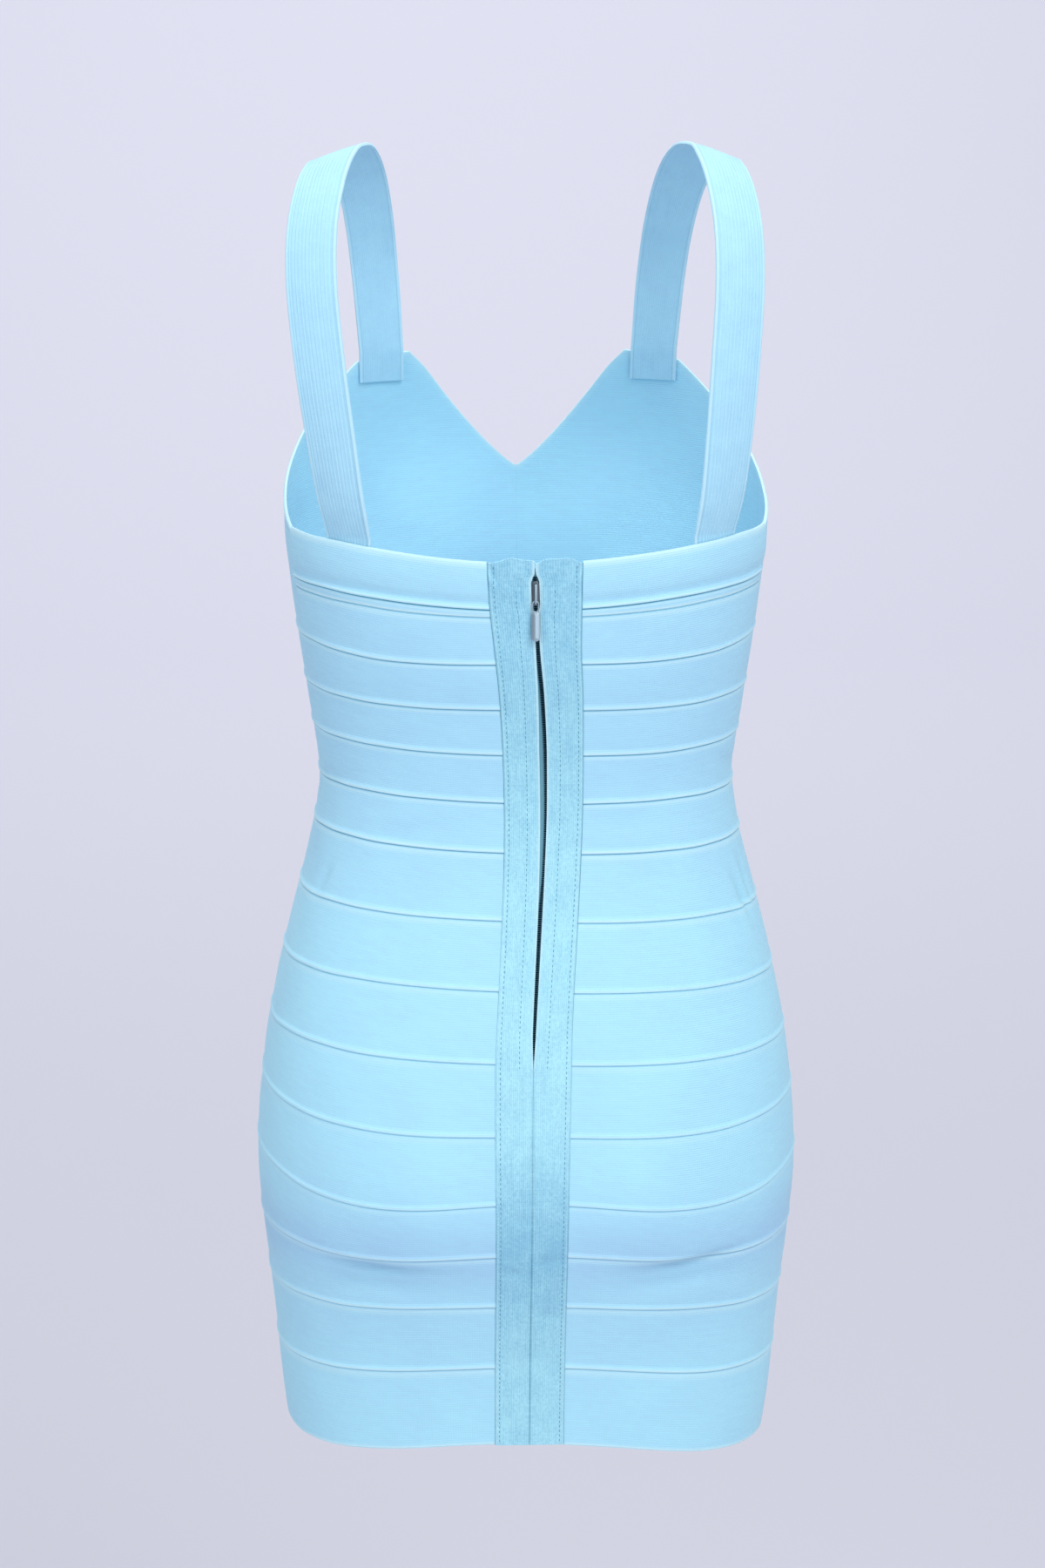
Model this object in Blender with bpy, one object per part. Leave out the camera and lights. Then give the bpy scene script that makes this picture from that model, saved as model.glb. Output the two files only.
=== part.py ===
"""Bodycon dress of knitted bands, in its worn form with no wearer.

Frame: metres, +Z up, the front of the dress faces -Y and its wearer's left is +X.
The origin lies midway between the undersides of the two strap crowns.
Every cloth piece is a closed wall: an outer skin with its raised hems, and a plain
inner skin. All skins are read from one figure surface, so that seams always match.
"""

import math
from collections import namedtuple

import bmesh
import bpy
from mathutils import Vector

MM = 0.001

# ---------------------------------------------------------------- driving sizes
WALL = 1.6 * MM            # thickness of a knitted band
SEAM_GAP = 0.3 * MM        # clear space between pieces that are sewn together
LIP_RISE = 0.8 * MM        # how far a band's lower hem stands proud
LIP_CREST = 1.5 * MM       # distance of the hem's crest above the band's lower edge
LIP_REACH = 4.0 * MM       # height of the hem
TOP_PUFF = 0.7 * MM        # fullness of the doubled top band
STRAP_WIDTH = 31.5 * MM
STRAP_WALL = 1.6 * MM
STRAP_BOW = 1.3 * MM       # how far a strap's edges curl towards the figure
STRAP_SEAT = 0.7 * MM      # clear space between a strap's foot and the band outside it
STRIP_RISE = 0.8 * MM      # how far the zip's facing strips stand proud of the bands
STRIP_EDGE = 0.5 * MM      # how far a strip's rounded edge stands proud
STRIP_TOP = -232.5 * MM
TAPE_WALL = 0.9 * MM
TAPE_WIDTH = 12.0 * MM
TAPE_SEAT = 0.4 * MM       # clear space between a tape and the strip over it
TAPE_TOP = -238.0 * MM
TAPE_END = -562.0 * MM
SIDE_SEAM = 75.7           # degrees round from the centre back

RING_STEPS = 40            # stretches round a band that runs from strip to strip
BACK_STEPS = 13            # stretches across a piece from strip to side seam
STRIP_STEPS = 4
STRIP_ROW = 14.0 * MM      # longest stretch between two rows of a strip
STRAP_STEPS = 4
STRAP_RUNS = 2             # stretches of strap between two rows of its table

# ---------------------------------------------------------------- figure surface
# Outer size of the dress at each height: half its width, its reach to the back and
# to the front of the side line, and how square its section is (2 is an ellipse).
Section = namedtuple("Section", "height half_width back front square")
SECTIONS = [
    Section(-100 * MM, 150.0 * MM, 100.0 * MM, 108.0 * MM, 2.40),
    Section(-140 * MM, 150.0 * MM, 100.0 * MM, 116.5 * MM, 2.40),
    Section(-180 * MM, 149.8 * MM, 100.0 * MM, 123.0 * MM, 2.40),
    Section(-210 * MM, 149.0 * MM, 99.5 * MM, 123.5 * MM, 2.40),
    Section(-240 * MM, 147.8 * MM, 98.5 * MM, 118.5 * MM, 2.40),
    Section(-300 * MM, 140.0 * MM, 93.0 * MM, 101.0 * MM, 2.40),
    Section(-340 * MM, 134.0 * MM, 85.0 * MM, 92.5 * MM, 2.40),
    Section(-382 * MM, 128.8 * MM, 80.0 * MM, 88.0 * MM, 2.40),
    Section(-420 * MM, 134.0 * MM, 82.0 * MM, 90.5 * MM, 2.40),
    Section(-460 * MM, 144.0 * MM, 89.0 * MM, 95.5 * MM, 2.40),
    Section(-510 * MM, 156.0 * MM, 101.0 * MM, 100.5 * MM, 2.45),
    Section(-560 * MM, 165.2 * MM, 111.0 * MM, 102.0 * MM, 2.50),
    Section(-620 * MM, 170.4 * MM, 117.5 * MM, 100.0 * MM, 2.50),
    Section(-660 * MM, 168.7 * MM, 116.0 * MM, 98.0 * MM, 2.55),
    Section(-700 * MM, 164.3 * MM, 107.5 * MM, 96.0 * MM, 2.60),
    Section(-740 * MM, 160.2 * MM, 99.0 * MM, 94.0 * MM, 2.60),
    Section(-780 * MM, 156.8 * MM, 94.5 * MM, 92.5 * MM, 2.60),
    Section(-820 * MM, 152.0 * MM, 92.0 * MM, 91.5 * MM, 2.60),
]

# Soft fullness on each half of the figure: where it is highest, how far it reaches
# across and up, how much it adds, and on which side (+1 is the back).
Fullness = namedtuple("Fullness", "across height reach_across reach_up rise side")
FULLNESS = [
    Fullness(72 * MM, -195 * MM, 45 * MM, 50 * MM, 8 * MM, -1),
    Fullness(70 * MM, -640 * MM, 42 * MM, 45 * MM, 5 * MM, 1),
]

# Heights of the seams that run round the dress: at the centre back, halfway to the
# side, at the side and at the centre front, and the lean of the whole line to the
# wearer's left (rise for each metre across).
Seam = namedtuple("Seam", "name back middle side front lean")
SEAMS = [
    Seam("top", -234.4 * MM, -227.4 * MM, -222.5 * MM, -222.5 * MM, 0.0),
    Seam("top_hem", -263.0 * MM, -257.0 * MM, -252.0 * MM, -252.0 * MM, 0.0),
    Seam("cord_hem", -267.8 * MM, -264.2 * MM, -258.5 * MM, -258.5 * MM, 0.0),
    Seam("ring_01", -297.5 * MM, -297.2 * MM, -289.0 * MM, -292.0 * MM, 0.004),
    Seam("ring_02", -326.3 * MM, -326.2 * MM, -322.0 * MM, -322.0 * MM, 0.015),
    Seam("ring_03", -355.5 * MM, -354.8 * MM, -351.0 * MM, -352.0 * MM, 0.024),
    Seam("ring_04", -387.0 * MM, -385.8 * MM, -384.0 * MM, -385.0 * MM, 0.026),
    Seam("ring_05", -418.5 * MM, -418.0 * MM, -415.5 * MM, -417.0 * MM, 0.022),
    Seam("ring_06", -459.5 * MM, -459.5 * MM, -458.5 * MM, -459.0 * MM, 0.016),
    Seam("ring_07", -500.5 * MM, -500.3 * MM, -499.5 * MM, -501.0 * MM, 0.015),
    Seam("ring_08", -543.5 * MM, -543.0 * MM, -539.5 * MM, -544.0 * MM, 0.017),
    Seam("ring_09", -587.0 * MM, -587.5 * MM, -577.0 * MM, -586.0 * MM, 0.020),
    Seam("ring_10", -630.0 * MM, -635.0 * MM, -619.5 * MM, -629.0 * MM, 0.020),
    Seam("ring_11", -663.5 * MM, -669.0 * MM, -664.0 * MM, -669.0 * MM, 0.020),
    Seam("ring_12", -700.5 * MM, -706.5 * MM, -706.5 * MM, -708.0 * MM, 0.020),
    Seam("ring_13", -744.5 * MM, -752.5 * MM, -751.5 * MM, -754.0 * MM, 0.021),
    Seam("hem", -796.7 * MM, -806.5 * MM, -808.0 * MM, -811.0 * MM, 0.020),
]
MIDDLE_ACROSS = 0.65       # where along the half width a seam's middle height is taken

# Top edge of the front, from the side seam over the armhole to the strap, and from
# the strap down the neckline to the centre front.
EdgePoint = namedtuple("EdgePoint", "turn height")
ARMHOLE = [
    EdgePoint(SIDE_SEAM, -223.5 * MM),
    EdgePoint(90.0, -210.5 * MM),
    EdgePoint(105.7, -193.0 * MM),
    EdgePoint(118.4, -175.0 * MM),
    EdgePoint(130.5, -156.0 * MM),
    EdgePoint(140.5, -139.5 * MM),
]
STRAP_EDGE = [ARMHOLE[-1], EdgePoint(156.8, -134.5 * MM)]
NECKLINE = [
    STRAP_EDGE[-1],
    EdgePoint(161.0, -145.5 * MM),
    EdgePoint(166.5, -165.0 * MM),
    EdgePoint(173.5, -189.5 * MM),
    EdgePoint(180.0, -211.0 * MM),
]
CUP_ROWS = [0.0, 0.25, 0.5, 0.75]   # shares of a cup's height, from its top edge

# The two facing strips over the zip: the centre line's sway, the width of each strip
# and the clear space between them.
StripRow = namedtuple("StripRow", "height centre width gap")
STRIP_ROWS = [
    StripRow(-225.0 * MM, -0.2 * MM, 29.2 * MM, 0.9 * MM),
    StripRow(-241.5 * MM, -0.3 * MM, 28.6 * MM, 1.0 * MM),
    StripRow(-244.8 * MM, -0.3 * MM, 28.4 * MM, 4.9 * MM),
    StripRow(-260.5 * MM, -0.8 * MM, 27.9 * MM, 4.9 * MM),
    StripRow(-265.5 * MM, -1.0 * MM, 27.6 * MM, 2.4 * MM),
    StripRow(-290.0 * MM, -2.4 * MM, 26.2 * MM, 2.4 * MM),
    StripRow(-317.0 * MM, -4.9 * MM, 25.4 * MM, 2.8 * MM),
    StripRow(-352.0 * MM, -6.5 * MM, 24.6 * MM, 3.8 * MM),
    StripRow(-392.0 * MM, -6.5 * MM, 24.0 * MM, 3.9 * MM),
    StripRow(-425.0 * MM, -5.3 * MM, 23.5 * MM, 3.7 * MM),
    StripRow(-460.0 * MM, -3.4 * MM, 23.3 * MM, 2.8 * MM),
    StripRow(-500.0 * MM, -0.9 * MM, 23.2 * MM, 2.0 * MM),
    StripRow(-527.0 * MM, 0.4 * MM, 23.3 * MM, 1.2 * MM),
    StripRow(-547.0 * MM, 1.1 * MM, 23.3 * MM, 0.4 * MM),
    StripRow(-600.0 * MM, 2.0 * MM, 22.8 * MM, 0.4 * MM),
    StripRow(-660.0 * MM, 2.4 * MM, 22.2 * MM, 0.4 * MM),
    StripRow(-830.0 * MM, 2.7 * MM, 21.5 * MM, 0.4 * MM),
]

# Middle of the left strap's inner side, from the back over the shoulder to the front,
# with the roll that turns its outer edge down to the figure, and the sway of both
# straps to the wearer's left. The feet are worked out from the panels that they are
# sewn behind.
StrapRow = namedtuple("StrapRow", "x y z roll sway")
STRAP_ROWS = [
    StrapRow(114.6 * MM, 75.8 * MM, -200.0 * MM, 30.0, 0.3 * MM),
    StrapRow(119.0 * MM, 77.6 * MM, -165.0 * MM, 24.0, 1.2 * MM),
    StrapRow(123.8 * MM, 75.8 * MM, -120.0 * MM, 19.0, 2.5 * MM),
    StrapRow(127.6 * MM, 67.6 * MM, -73.0 * MM, 18.0, 3.2 * MM),
    StrapRow(127.2 * MM, 55.0 * MM, -40.0 * MM, 18.0, 3.0 * MM),
    StrapRow(123.0 * MM, 36.0 * MM, -15.5 * MM, 19.0, 2.2 * MM),
    StrapRow(117.6 * MM, 16.0 * MM, -2.5 * MM, 20.0, 1.2 * MM),
    StrapRow(112.5 * MM, 0.0 * MM, 0.0 * MM, 21.0, 0.0 * MM),
    StrapRow(105.5 * MM, -24.0 * MM, -4.5 * MM, 21.0, 0.0 * MM),
    StrapRow(99.0 * MM, -50.0 * MM, -21.0 * MM, 21.0, 0.0 * MM),
    StrapRow(94.0 * MM, -73.0 * MM, -49.0 * MM, 22.0, 0.0 * MM),
    StrapRow(90.6 * MM, -89.5 * MM, -82.0 * MM, 24.0, 0.0 * MM),
]
BACK_FOOT = StrapRow(111.8 * MM, 0.0, -223.0 * MM, 33.0, 0.0)
FRONT_FOOT = StrapRow(87.8 * MM, 0.0, -132.5 * MM, 25.0, 0.0)
FOOT_DEPTHS = [0.0, 10.0 * MM, 20.0 * MM]   # rows of a foot, down behind its panel

# ---------------------------------------------------------------- zip slider
SLIDER_TOP = -245.2 * MM
SLIDER_LENGTH = 15.0 * MM
SLIDER_WIDTH = 4.1 * MM
SLIDER_CORNER = 1.6 * MM
SLIDER_FACE = 1.0 * MM     # its outer face, above the bands' outer surface
SLIDER_BACK = -1.1 * MM    # its inner face, just clear of the tapes
EDGE_BREAK = 0.3 * MM      # rounding of the metal's edges
BRIDGE_TOP = -246.7 * MM
BRIDGE_WIDTH = 1.3 * MM
BRIDGE_BAR = 0.9 * MM      # thickness of the bridge's bar and legs
BRIDGE_CORNER = 0.6 * MM
BRIDGE_SINK = 0.4 * MM     # how deep its legs reach into the slider
HINGE_HEIGHT = -257.2 * MM
LOOP_WIRE = 0.45 * MM      # radius of the pull's wire
LOOP_CLEAR = 0.3 * MM      # clear space round the wire where it hangs
LOOP_RADIUS = 1.75 * MM    # of the loop's bends, to the middle of the wire
LOOP_LENGTH = 7.0 * MM     # from the hinge to the loop's far end
TAB_WIDTH = 5.2 * MM
TAB_LENGTH = 18.4 * MM
TAB_THICK = 1.2 * MM
TAB_CORNER = 2.1 * MM
CORNER_STEPS = 5
BEND_STEPS = 8
WIRE_SIDES = 8


def along(rows, height, column):
    """Smooth value of one column of a table whose first column is a falling height."""
    last = len(rows) - 1
    place = 0
    while place < last - 1 and height < rows[place + 1][0]:
        place += 1

    def slope(row):
        before, after = rows[max(row - 1, 0)], rows[min(row + 1, last)]
        return (after[column] - before[column]) / (after[0] - before[0])

    upper, lower = rows[place], rows[place + 1]
    span = lower[0] - upper[0]
    t = (height - upper[0]) / span
    return (
        (2 * t**3 - 3 * t**2 + 1) * upper[column]
        + (t**3 - 2 * t**2 + t) * span * slope(place)
        + (3 * t**2 - 2 * t**3) * lower[column]
        + (t**3 - t**2) * span * slope(place + 1)
    )


def straight(rows, height, column):
    """Value of one column between two rows, with no overshoot."""
    for upper, lower in zip(rows, rows[1:]):
        if height >= lower[0]:
            break
    t = (height - upper[0]) / (lower[0] - upper[0])
    return upper[column] + t * (lower[column] - upper[column])


# ---------------------------------------------------------------- figure surface
def figure(turn, height):
    """Point of the dress's outer surface; turn runs from the centre back to +X."""
    half_width, back, front, square = (along(SECTIONS, height, c) for c in range(1, 5))
    sine, cosine = math.sin(turn), math.cos(turn)
    power = 2.0 / square
    x = math.copysign(half_width * abs(sine) ** power, sine)
    side = 1.0 if cosine > 0.0 else -1.0
    y = side * (back if side > 0.0 else front) * abs(cosine) ** power
    for swell in FULLNESS:
        if swell.side == side:
            across = (abs(x) - swell.across) / swell.reach_across
            up = (height - swell.height) / swell.reach_up
            fade = min(1.0, abs(cosine) * 2.0)
            y += side * fade * swell.rise * math.exp(-across * across - up * up)
    return Vector((x, y, height))


def outward(turn, height):
    """Unit normal of the figure surface."""
    step_turn, step_height = 0.004, 1.0 * MM
    round_way = figure(turn + step_turn, height) - figure(turn - step_turn, height)
    up_way = figure(turn, height + step_height) - figure(turn, height - step_height)
    return up_way.cross(round_way).normalized()


def skin(turn, height, offset):
    """Point at a distance outside (or, if negative, inside) the figure surface."""
    return figure(turn, height) + outward(turn, height) * offset


def turn_at(x, height, front=False):
    """Turn at which the surface has the given x, on the back or on the front."""
    share = abs(x) / along(SECTIONS, height, 1)
    angle = math.asin(min(1.0, share) ** (along(SECTIONS, height, 4) / 2.0))
    if front:
        angle = math.pi - angle
    return math.copysign(angle, x)


def seam_height(seam, turn):
    """Height of a seam line at one place round the dress."""
    share = abs(math.sin(turn)) ** 0.8
    if math.cos(turn) >= 0.0:
        middle, side = seam.middle - seam.back, seam.side - seam.back
        square, fourth = MIDDLE_ACROSS**2, MIDDLE_ACROSS**4
        bend = (middle - fourth * side) / (square - fourth)
        level = seam.back + bend * share**2 + (side - bend) * share**4
    else:
        level = seam.front + (seam.side - seam.front) * share**2
    across = math.copysign(share, math.sin(turn)) * along(SECTIONS, seam.back, 1)
    return level + seam.lean * across


def strip_edge(height, side):
    """Outer edge of a facing strip: side +1 is the wearer's left."""
    return along(STRIP_ROWS, height, 1) + side * along(STRIP_ROWS, height, 2)


# ---------------------------------------------------------------- solids
def new_object(name, mesh, material):
    mesh.materials.append(material)
    mesh.shade_smooth()
    mesh.set_sharp_from_angle(angle=math.radians(35.0))
    piece = bpy.data.objects.new(name, mesh)
    bpy.context.collection.objects.link(piece)
    return piece


def wall(name, outer, inner, material):
    """Closed wall between an outer and an inner grid with the same columns."""
    shape = bmesh.new()
    out = [[shape.verts.new(point) for point in row] for row in outer]
    ins = [[shape.verts.new(point) for point in row] for row in inner]
    for grid in (out, ins):
        for upper, lower in zip(grid, grid[1:]):
            for k in range(len(upper) - 1):
                shape.faces.new((upper[k], upper[k + 1], lower[k + 1], lower[k]))
    for row_out, row_in in ((out[0], ins[0]), (out[-1], ins[-1])):
        for k in range(len(row_out) - 1):
            shape.faces.new((row_out[k], row_out[k + 1], row_in[k + 1], row_in[k]))
    for end in (0, -1):
        if len(out) == len(ins):
            for k in range(len(out) - 1):
                shape.faces.new((out[k][end], out[k + 1][end], ins[k + 1][end], ins[k][end]))
        else:
            shape.faces.new([row[end] for row in out] + [row[end] for row in reversed(ins)])
    bmesh.ops.recalc_face_normals(shape, faces=shape.faces)
    mesh = bpy.data.meshes.new(name)
    shape.to_mesh(mesh)
    shape.free()
    return new_object(name, mesh, material)


def band_rows(upper, lower, puff, lip):
    """Rows of a band's outer and inner skin, as functions of turn, with their offsets."""
    def top(turn):
        return seam_height(upper, turn) - SEAM_GAP / 2

    def bottom(turn):
        return seam_height(lower, turn) + SEAM_GAP / 2

    def middle(turn):
        return (top(turn) + bottom(turn)) / 2

    def above(distance):
        return lambda turn: bottom(turn) + distance

    outer = [(top, 0.0), (middle, puff)]
    if lip:
        outer += [(above(LIP_REACH), puff / 2), (above(LIP_CREST), LIP_RISE)]
        outer += [(bottom, LIP_RISE / 2)]
    else:
        outer += [(bottom, 0.0)]
    inner = [(top, -WALL), (middle, -WALL), (bottom, -WALL)]
    return outer, inner


def ring_band(name, upper, lower, material, lip=True):
    """Band that runs from one facing strip round the front to the other."""
    def grid(rows):
        points = []
        for height_at, offset in rows:
            start_height = height_at(0.0)
            start = turn_at(strip_edge(start_height, 1) + SEAM_GAP, start_height)
            end = turn_at(strip_edge(start_height, -1) - SEAM_GAP, start_height) + 2 * math.pi
            turns = [start + (end - start) * k / RING_STEPS for k in range(RING_STEPS + 1)]
            points.append([skin(turn, height_at(turn), offset) for turn in turns])
        return points

    outer, inner = band_rows(upper, lower, 0.0, lip)
    return wall(name, grid(outer), grid(inner), material)


def back_band(name, upper, lower, side, material, puff=0.0, lip=True):
    """Band from a facing strip to the side seam; side +1 is the wearer's left."""
    seam_turn = math.radians(SIDE_SEAM) - SEAM_GAP / 2 / SECTIONS[4].half_width

    def grid(rows):
        points = []
        for height_at, offset in rows:
            start_height = height_at(0.0)
            edge = strip_edge(start_height, side) + side * SEAM_GAP
            start = abs(turn_at(edge, start_height))
            turns = [start + (seam_turn - start) * k / BACK_STEPS for k in range(BACK_STEPS + 1)]
            points.append([skin(side * t, height_at(side * t), offset) for t in turns])
        return points

    outer, inner = band_rows(upper, lower, puff, lip)
    return wall(name, grid(outer), grid(inner), material)


def edge_run(points, steps):
    """Smooth run of (turn, height) pairs through a short table, without its last."""
    falling = [EdgePoint(-p.turn, p.height) for p in points]
    turns = [points[0].turn + (points[-1].turn - points[0].turn) * k / steps for k in range(steps)]
    return [(turn, along(falling, -turn, 1)) for turn in turns]


def cup(name, side, material):
    """Front piece from the side seam to the centre front, over one half of the bust."""
    run = edge_run(ARMHOLE, 8)
    run += [(ARMHOLE[-1].turn, ARMHOLE[-1].height)]
    span = STRAP_EDGE[1].turn - STRAP_EDGE[0].turn
    for share in (1 / 3, 2 / 3):
        height = STRAP_EDGE[0].height + share * (STRAP_EDGE[1].height - STRAP_EDGE[0].height)
        run.append((STRAP_EDGE[0].turn + share * span, height))
    run += edge_run(NECKLINE, 6)
    run.append((NECKLINE[-1].turn, NECKLINE[-1].height))
    gap_turn = math.degrees(SEAM_GAP / 2 / SECTIONS[4].half_width)
    run[0] = (run[0][0] + gap_turn, run[0][1])
    run[-1] = (math.degrees(turn_at(SEAM_GAP / 2, run[-1][1], front=True)), run[-1][1])
    base = SEAMS[3]

    def row(height_of, offset):
        points = []
        for turn_degrees, top in run:
            turn = side * math.radians(turn_degrees)
            bottom = seam_height(base, turn) + SEAM_GAP / 2
            points.append(skin(turn, height_of(top, bottom), offset))
        return points

    def share_of(share):
        return lambda top, bottom: top + share * (bottom - top)

    def above(distance):
        return lambda top, bottom: bottom + distance

    outer = [row(share_of(share), 0.0) for share in CUP_ROWS]
    outer += [row(above(LIP_REACH), 0.0), row(above(LIP_CREST), LIP_RISE)]
    outer += [row(above(0.0), LIP_RISE / 2)]
    inner = [row(share_of(share), -WALL) for share in CUP_ROWS + [1.0]]
    return wall(name, outer, inner, material)


def spaced_rows(rows, top, bottom, longest):
    """Heights from top to bottom that hold each table row and no stretch over longest."""
    marks = [top] + [row[0] for row in rows if bottom < row[0] < top] + [bottom]
    heights = [top]
    for upper, lower in zip(marks, marks[1:]):
        steps = max(1, math.ceil((upper - lower) / longest))
        heights += [upper + (lower - upper) * k / steps for k in range(1, steps + 1)]
    return heights


def facing_strip(name, side, material):
    """Ribbed strip beside the zip, from the top edge to the hem."""
    hem = seam_height(SEAMS[-1], 0.0)

    def row(height, offsets):
        centre = along(STRIP_ROWS, height, 1)
        inner_edge = centre + side * straight(STRIP_ROWS, height, 3) / 2
        outer_edge = strip_edge(height, side)
        points = []
        for k, offset in enumerate(offsets):
            x = inner_edge + (outer_edge - inner_edge) * k / STRIP_STEPS
            points.append(skin(turn_at(x, height), height, offset))
        return points

    rounded = [STRIP_EDGE] + [STRIP_RISE] * (STRIP_STEPS - 1) + [STRIP_EDGE]
    heights = spaced_rows(STRIP_ROWS, STRIP_TOP, hem, STRIP_ROW)
    outer = [row(height, rounded) for height in heights]
    inner = [row(height, [-WALL] * (STRIP_STEPS + 1)) for height in heights]
    return wall(name, outer, inner, material)


def zip_tape(name, side, material):
    """Tape of one half of the zip, behind its facing strip."""
    def row(height, offset):
        centre = along(STRIP_ROWS, height, 1)
        near = centre + side * SEAM_GAP / 2
        xs = [near + side * TAPE_WIDTH * k / 2 for k in range(3)]
        return [skin(turn_at(x, height), height, offset) for x in xs]

    heights = spaced_rows(STRIP_ROWS, TAPE_TOP, TAPE_END, STRIP_ROW)
    face = -WALL - TAPE_SEAT
    outer = [row(height, face) for height in heights]
    inner = [row(height, face - TAPE_WALL) for height in heights]
    return wall(name, outer, inner, material)


# ---------------------------------------------------------------- straps
def smooth_path(rows, runs):
    """Catmull-Rom points and rolls through the strap's table."""
    result = []
    for k in range(len(rows) - 1):
        before, here = rows[max(k - 1, 0)], rows[k]
        there, after = rows[k + 1], rows[min(k + 2, len(rows) - 1)]
        for step in range(runs):
            t = step / runs
            value = []
            for a, b, c, d in zip(before, here, there, after):
                curve = (2 * b) + (c - a) * t + (2 * a - 5 * b + 4 * c - d) * t * t
                curve += (3 * b - a - 3 * c + d) * t**3
                value.append(curve / 2)
            result.append(StrapRow(*value))
    result.append(rows[-1])
    return result


def foot_row(foot, depth, front):
    """Outer and inner points of a strap's foot, sewn behind its panel."""
    height = foot.z - depth
    spread = STRAP_WIDTH / 2 * math.cos(math.radians(foot.roll))
    face = -WALL - STRAP_SEAT
    outer, inner = [], []
    for k in range(STRAP_STEPS + 1):
        across = 2.0 * k / STRAP_STEPS - 1.0
        turn = turn_at(foot.x + across * spread, height, front)
        outer.append(skin(turn, height, face))
        inner.append(skin(turn, height, face - STRAP_WALL))
    return outer, inner


def foot_centre(foot, front):
    turn = turn_at(foot.x, foot.z, front)
    middle = skin(turn, foot.z, -WALL - STRAP_SEAT - STRAP_WALL)
    return StrapRow(middle.x, middle.y, middle.z, foot.roll, foot.sway)


def strap(name, side, material):
    """One strap, from behind the top band over the shoulder to behind the cup."""
    rows = [foot_centre(BACK_FOOT, False)] + STRAP_ROWS + [foot_centre(FRONT_FOOT, True)]
    path = smooth_path(rows, STRAP_RUNS)
    places = [Vector((row.x, row.y, row.z)) for row in path]
    outer, inner = [], []
    for depth in reversed(FOOT_DEPTHS):
        foot_outer, foot_inner = foot_row(BACK_FOOT, depth, False)
        outer.append(foot_outer)
        inner.append(foot_inner)
    sway = Vector((1.0, 0.0, 0.0))
    for k in range(1, len(path) - 1):
        along_way = (places[k + 1] - places[k - 1]).normalized()
        sideways = Vector((1.0, 0.0, 0.0))
        sideways = (sideways - along_way * sideways.dot(along_way)).normalized()
        face = along_way.cross(sideways)
        roll = math.radians(path[k].roll)
        width_way = sideways * math.cos(roll) - face * math.sin(roll)
        normal = face * math.cos(roll) + sideways * math.sin(roll)
        row_outer, row_inner = [], []
        for step in range(STRAP_STEPS + 1):
            across = 2.0 * step / STRAP_STEPS - 1.0
            point = places[k] + sway * (side * path[k].sway)
            point += width_way * (across * STRAP_WIDTH / 2)
            point -= normal * (STRAP_BOW * across * across)
            row_inner.append(point)
            row_outer.append(point + normal * STRAP_WALL)
        outer.append(row_outer)
        inner.append(row_inner)
    for depth in FOOT_DEPTHS:
        foot_outer, foot_inner = foot_row(FRONT_FOOT, depth, True)
        outer.append(foot_outer)
        inner.append(foot_inner)
    for grid in (outer, inner):
        for row in grid:
            for point in row:
                point.x *= side
    return wall(name, outer, inner, material)


# ---------------------------------------------------------------- zip hardware
def slider_seat():
    """Centre x of the slider and y of the bands' outer surface behind it."""
    middle = SLIDER_TOP - SLIDER_LENGTH / 2
    centre = along(STRIP_ROWS, middle, 1)
    return centre, figure(turn_at(centre, middle), middle).y


def hinge_point():
    """Axis of the pull, in the middle of the wire that hangs on the bridge."""
    centre, surface = slider_seat()
    return Vector((centre, surface + SLIDER_FACE + LOOP_CLEAR + LOOP_WIRE, HINGE_HEIGHT))


def rounded_outline(half_width, top, bottom, corner):
    """Points (x, z) round a rectangle with rounded corners, centred on x = 0."""
    corners = [
        (half_width - corner, top - corner), (corner - half_width, top - corner),
        (corner - half_width, bottom + corner), (half_width - corner, bottom + corner),
    ]
    outline = []
    for number, (x, z) in enumerate(corners):
        for step in range(CORNER_STEPS + 1):
            angle = math.pi / 2 * (number + step / CORNER_STEPS)
            outline.append((x + corner * math.cos(angle), z + corner * math.sin(angle)))
    return outline


def loft(name, rings, closed=False):
    """Solid skinned over rings of points; a closed one joins its last to its first."""
    shape = bmesh.new()
    loops = [[shape.verts.new(point) for point in ring] for ring in rings]
    if closed:
        pairs = zip(loops, loops[1:] + loops[:1])
    else:
        pairs = zip(loops, loops[1:])
        shape.faces.new(loops[0])
        shape.faces.new(loops[-1])
    for near, far in pairs:
        for k in range(len(near)):
            after = (k + 1) % len(near)
            shape.faces.new((near[k], near[after], far[after], far[k]))
    bmesh.ops.recalc_face_normals(shape, faces=shape.faces)
    mesh = bpy.data.meshes.new(name)
    shape.to_mesh(mesh)
    shape.free()
    return mesh


def plate(name, half_width, top, bottom, corner, low, high):
    """Rounded plate across Y from low to high, with its edges broken."""
    rings = []
    layers = [(low, EDGE_BREAK), (low + EDGE_BREAK, 0.0), (high - EDGE_BREAK, 0.0), (high, EDGE_BREAK)]
    for y, inset in layers:
        outline = rounded_outline(half_width - inset, top - inset, bottom + inset, corner - inset)
        rings.append([(x, y, z) for x, z in outline])
    return loft(name, rings)


def join_shape(target, name, mesh, place):
    """Join a second shape into a solid with a Boolean union."""
    shape = bpy.data.objects.new(name, mesh)
    bpy.context.collection.objects.link(shape)
    shape.location = place
    shape.hide_render = True
    shape.display_type = "WIRE"
    union = target.modifiers.new("join", "BOOLEAN")
    union.operation = "UNION"
    union.object = shape


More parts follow.
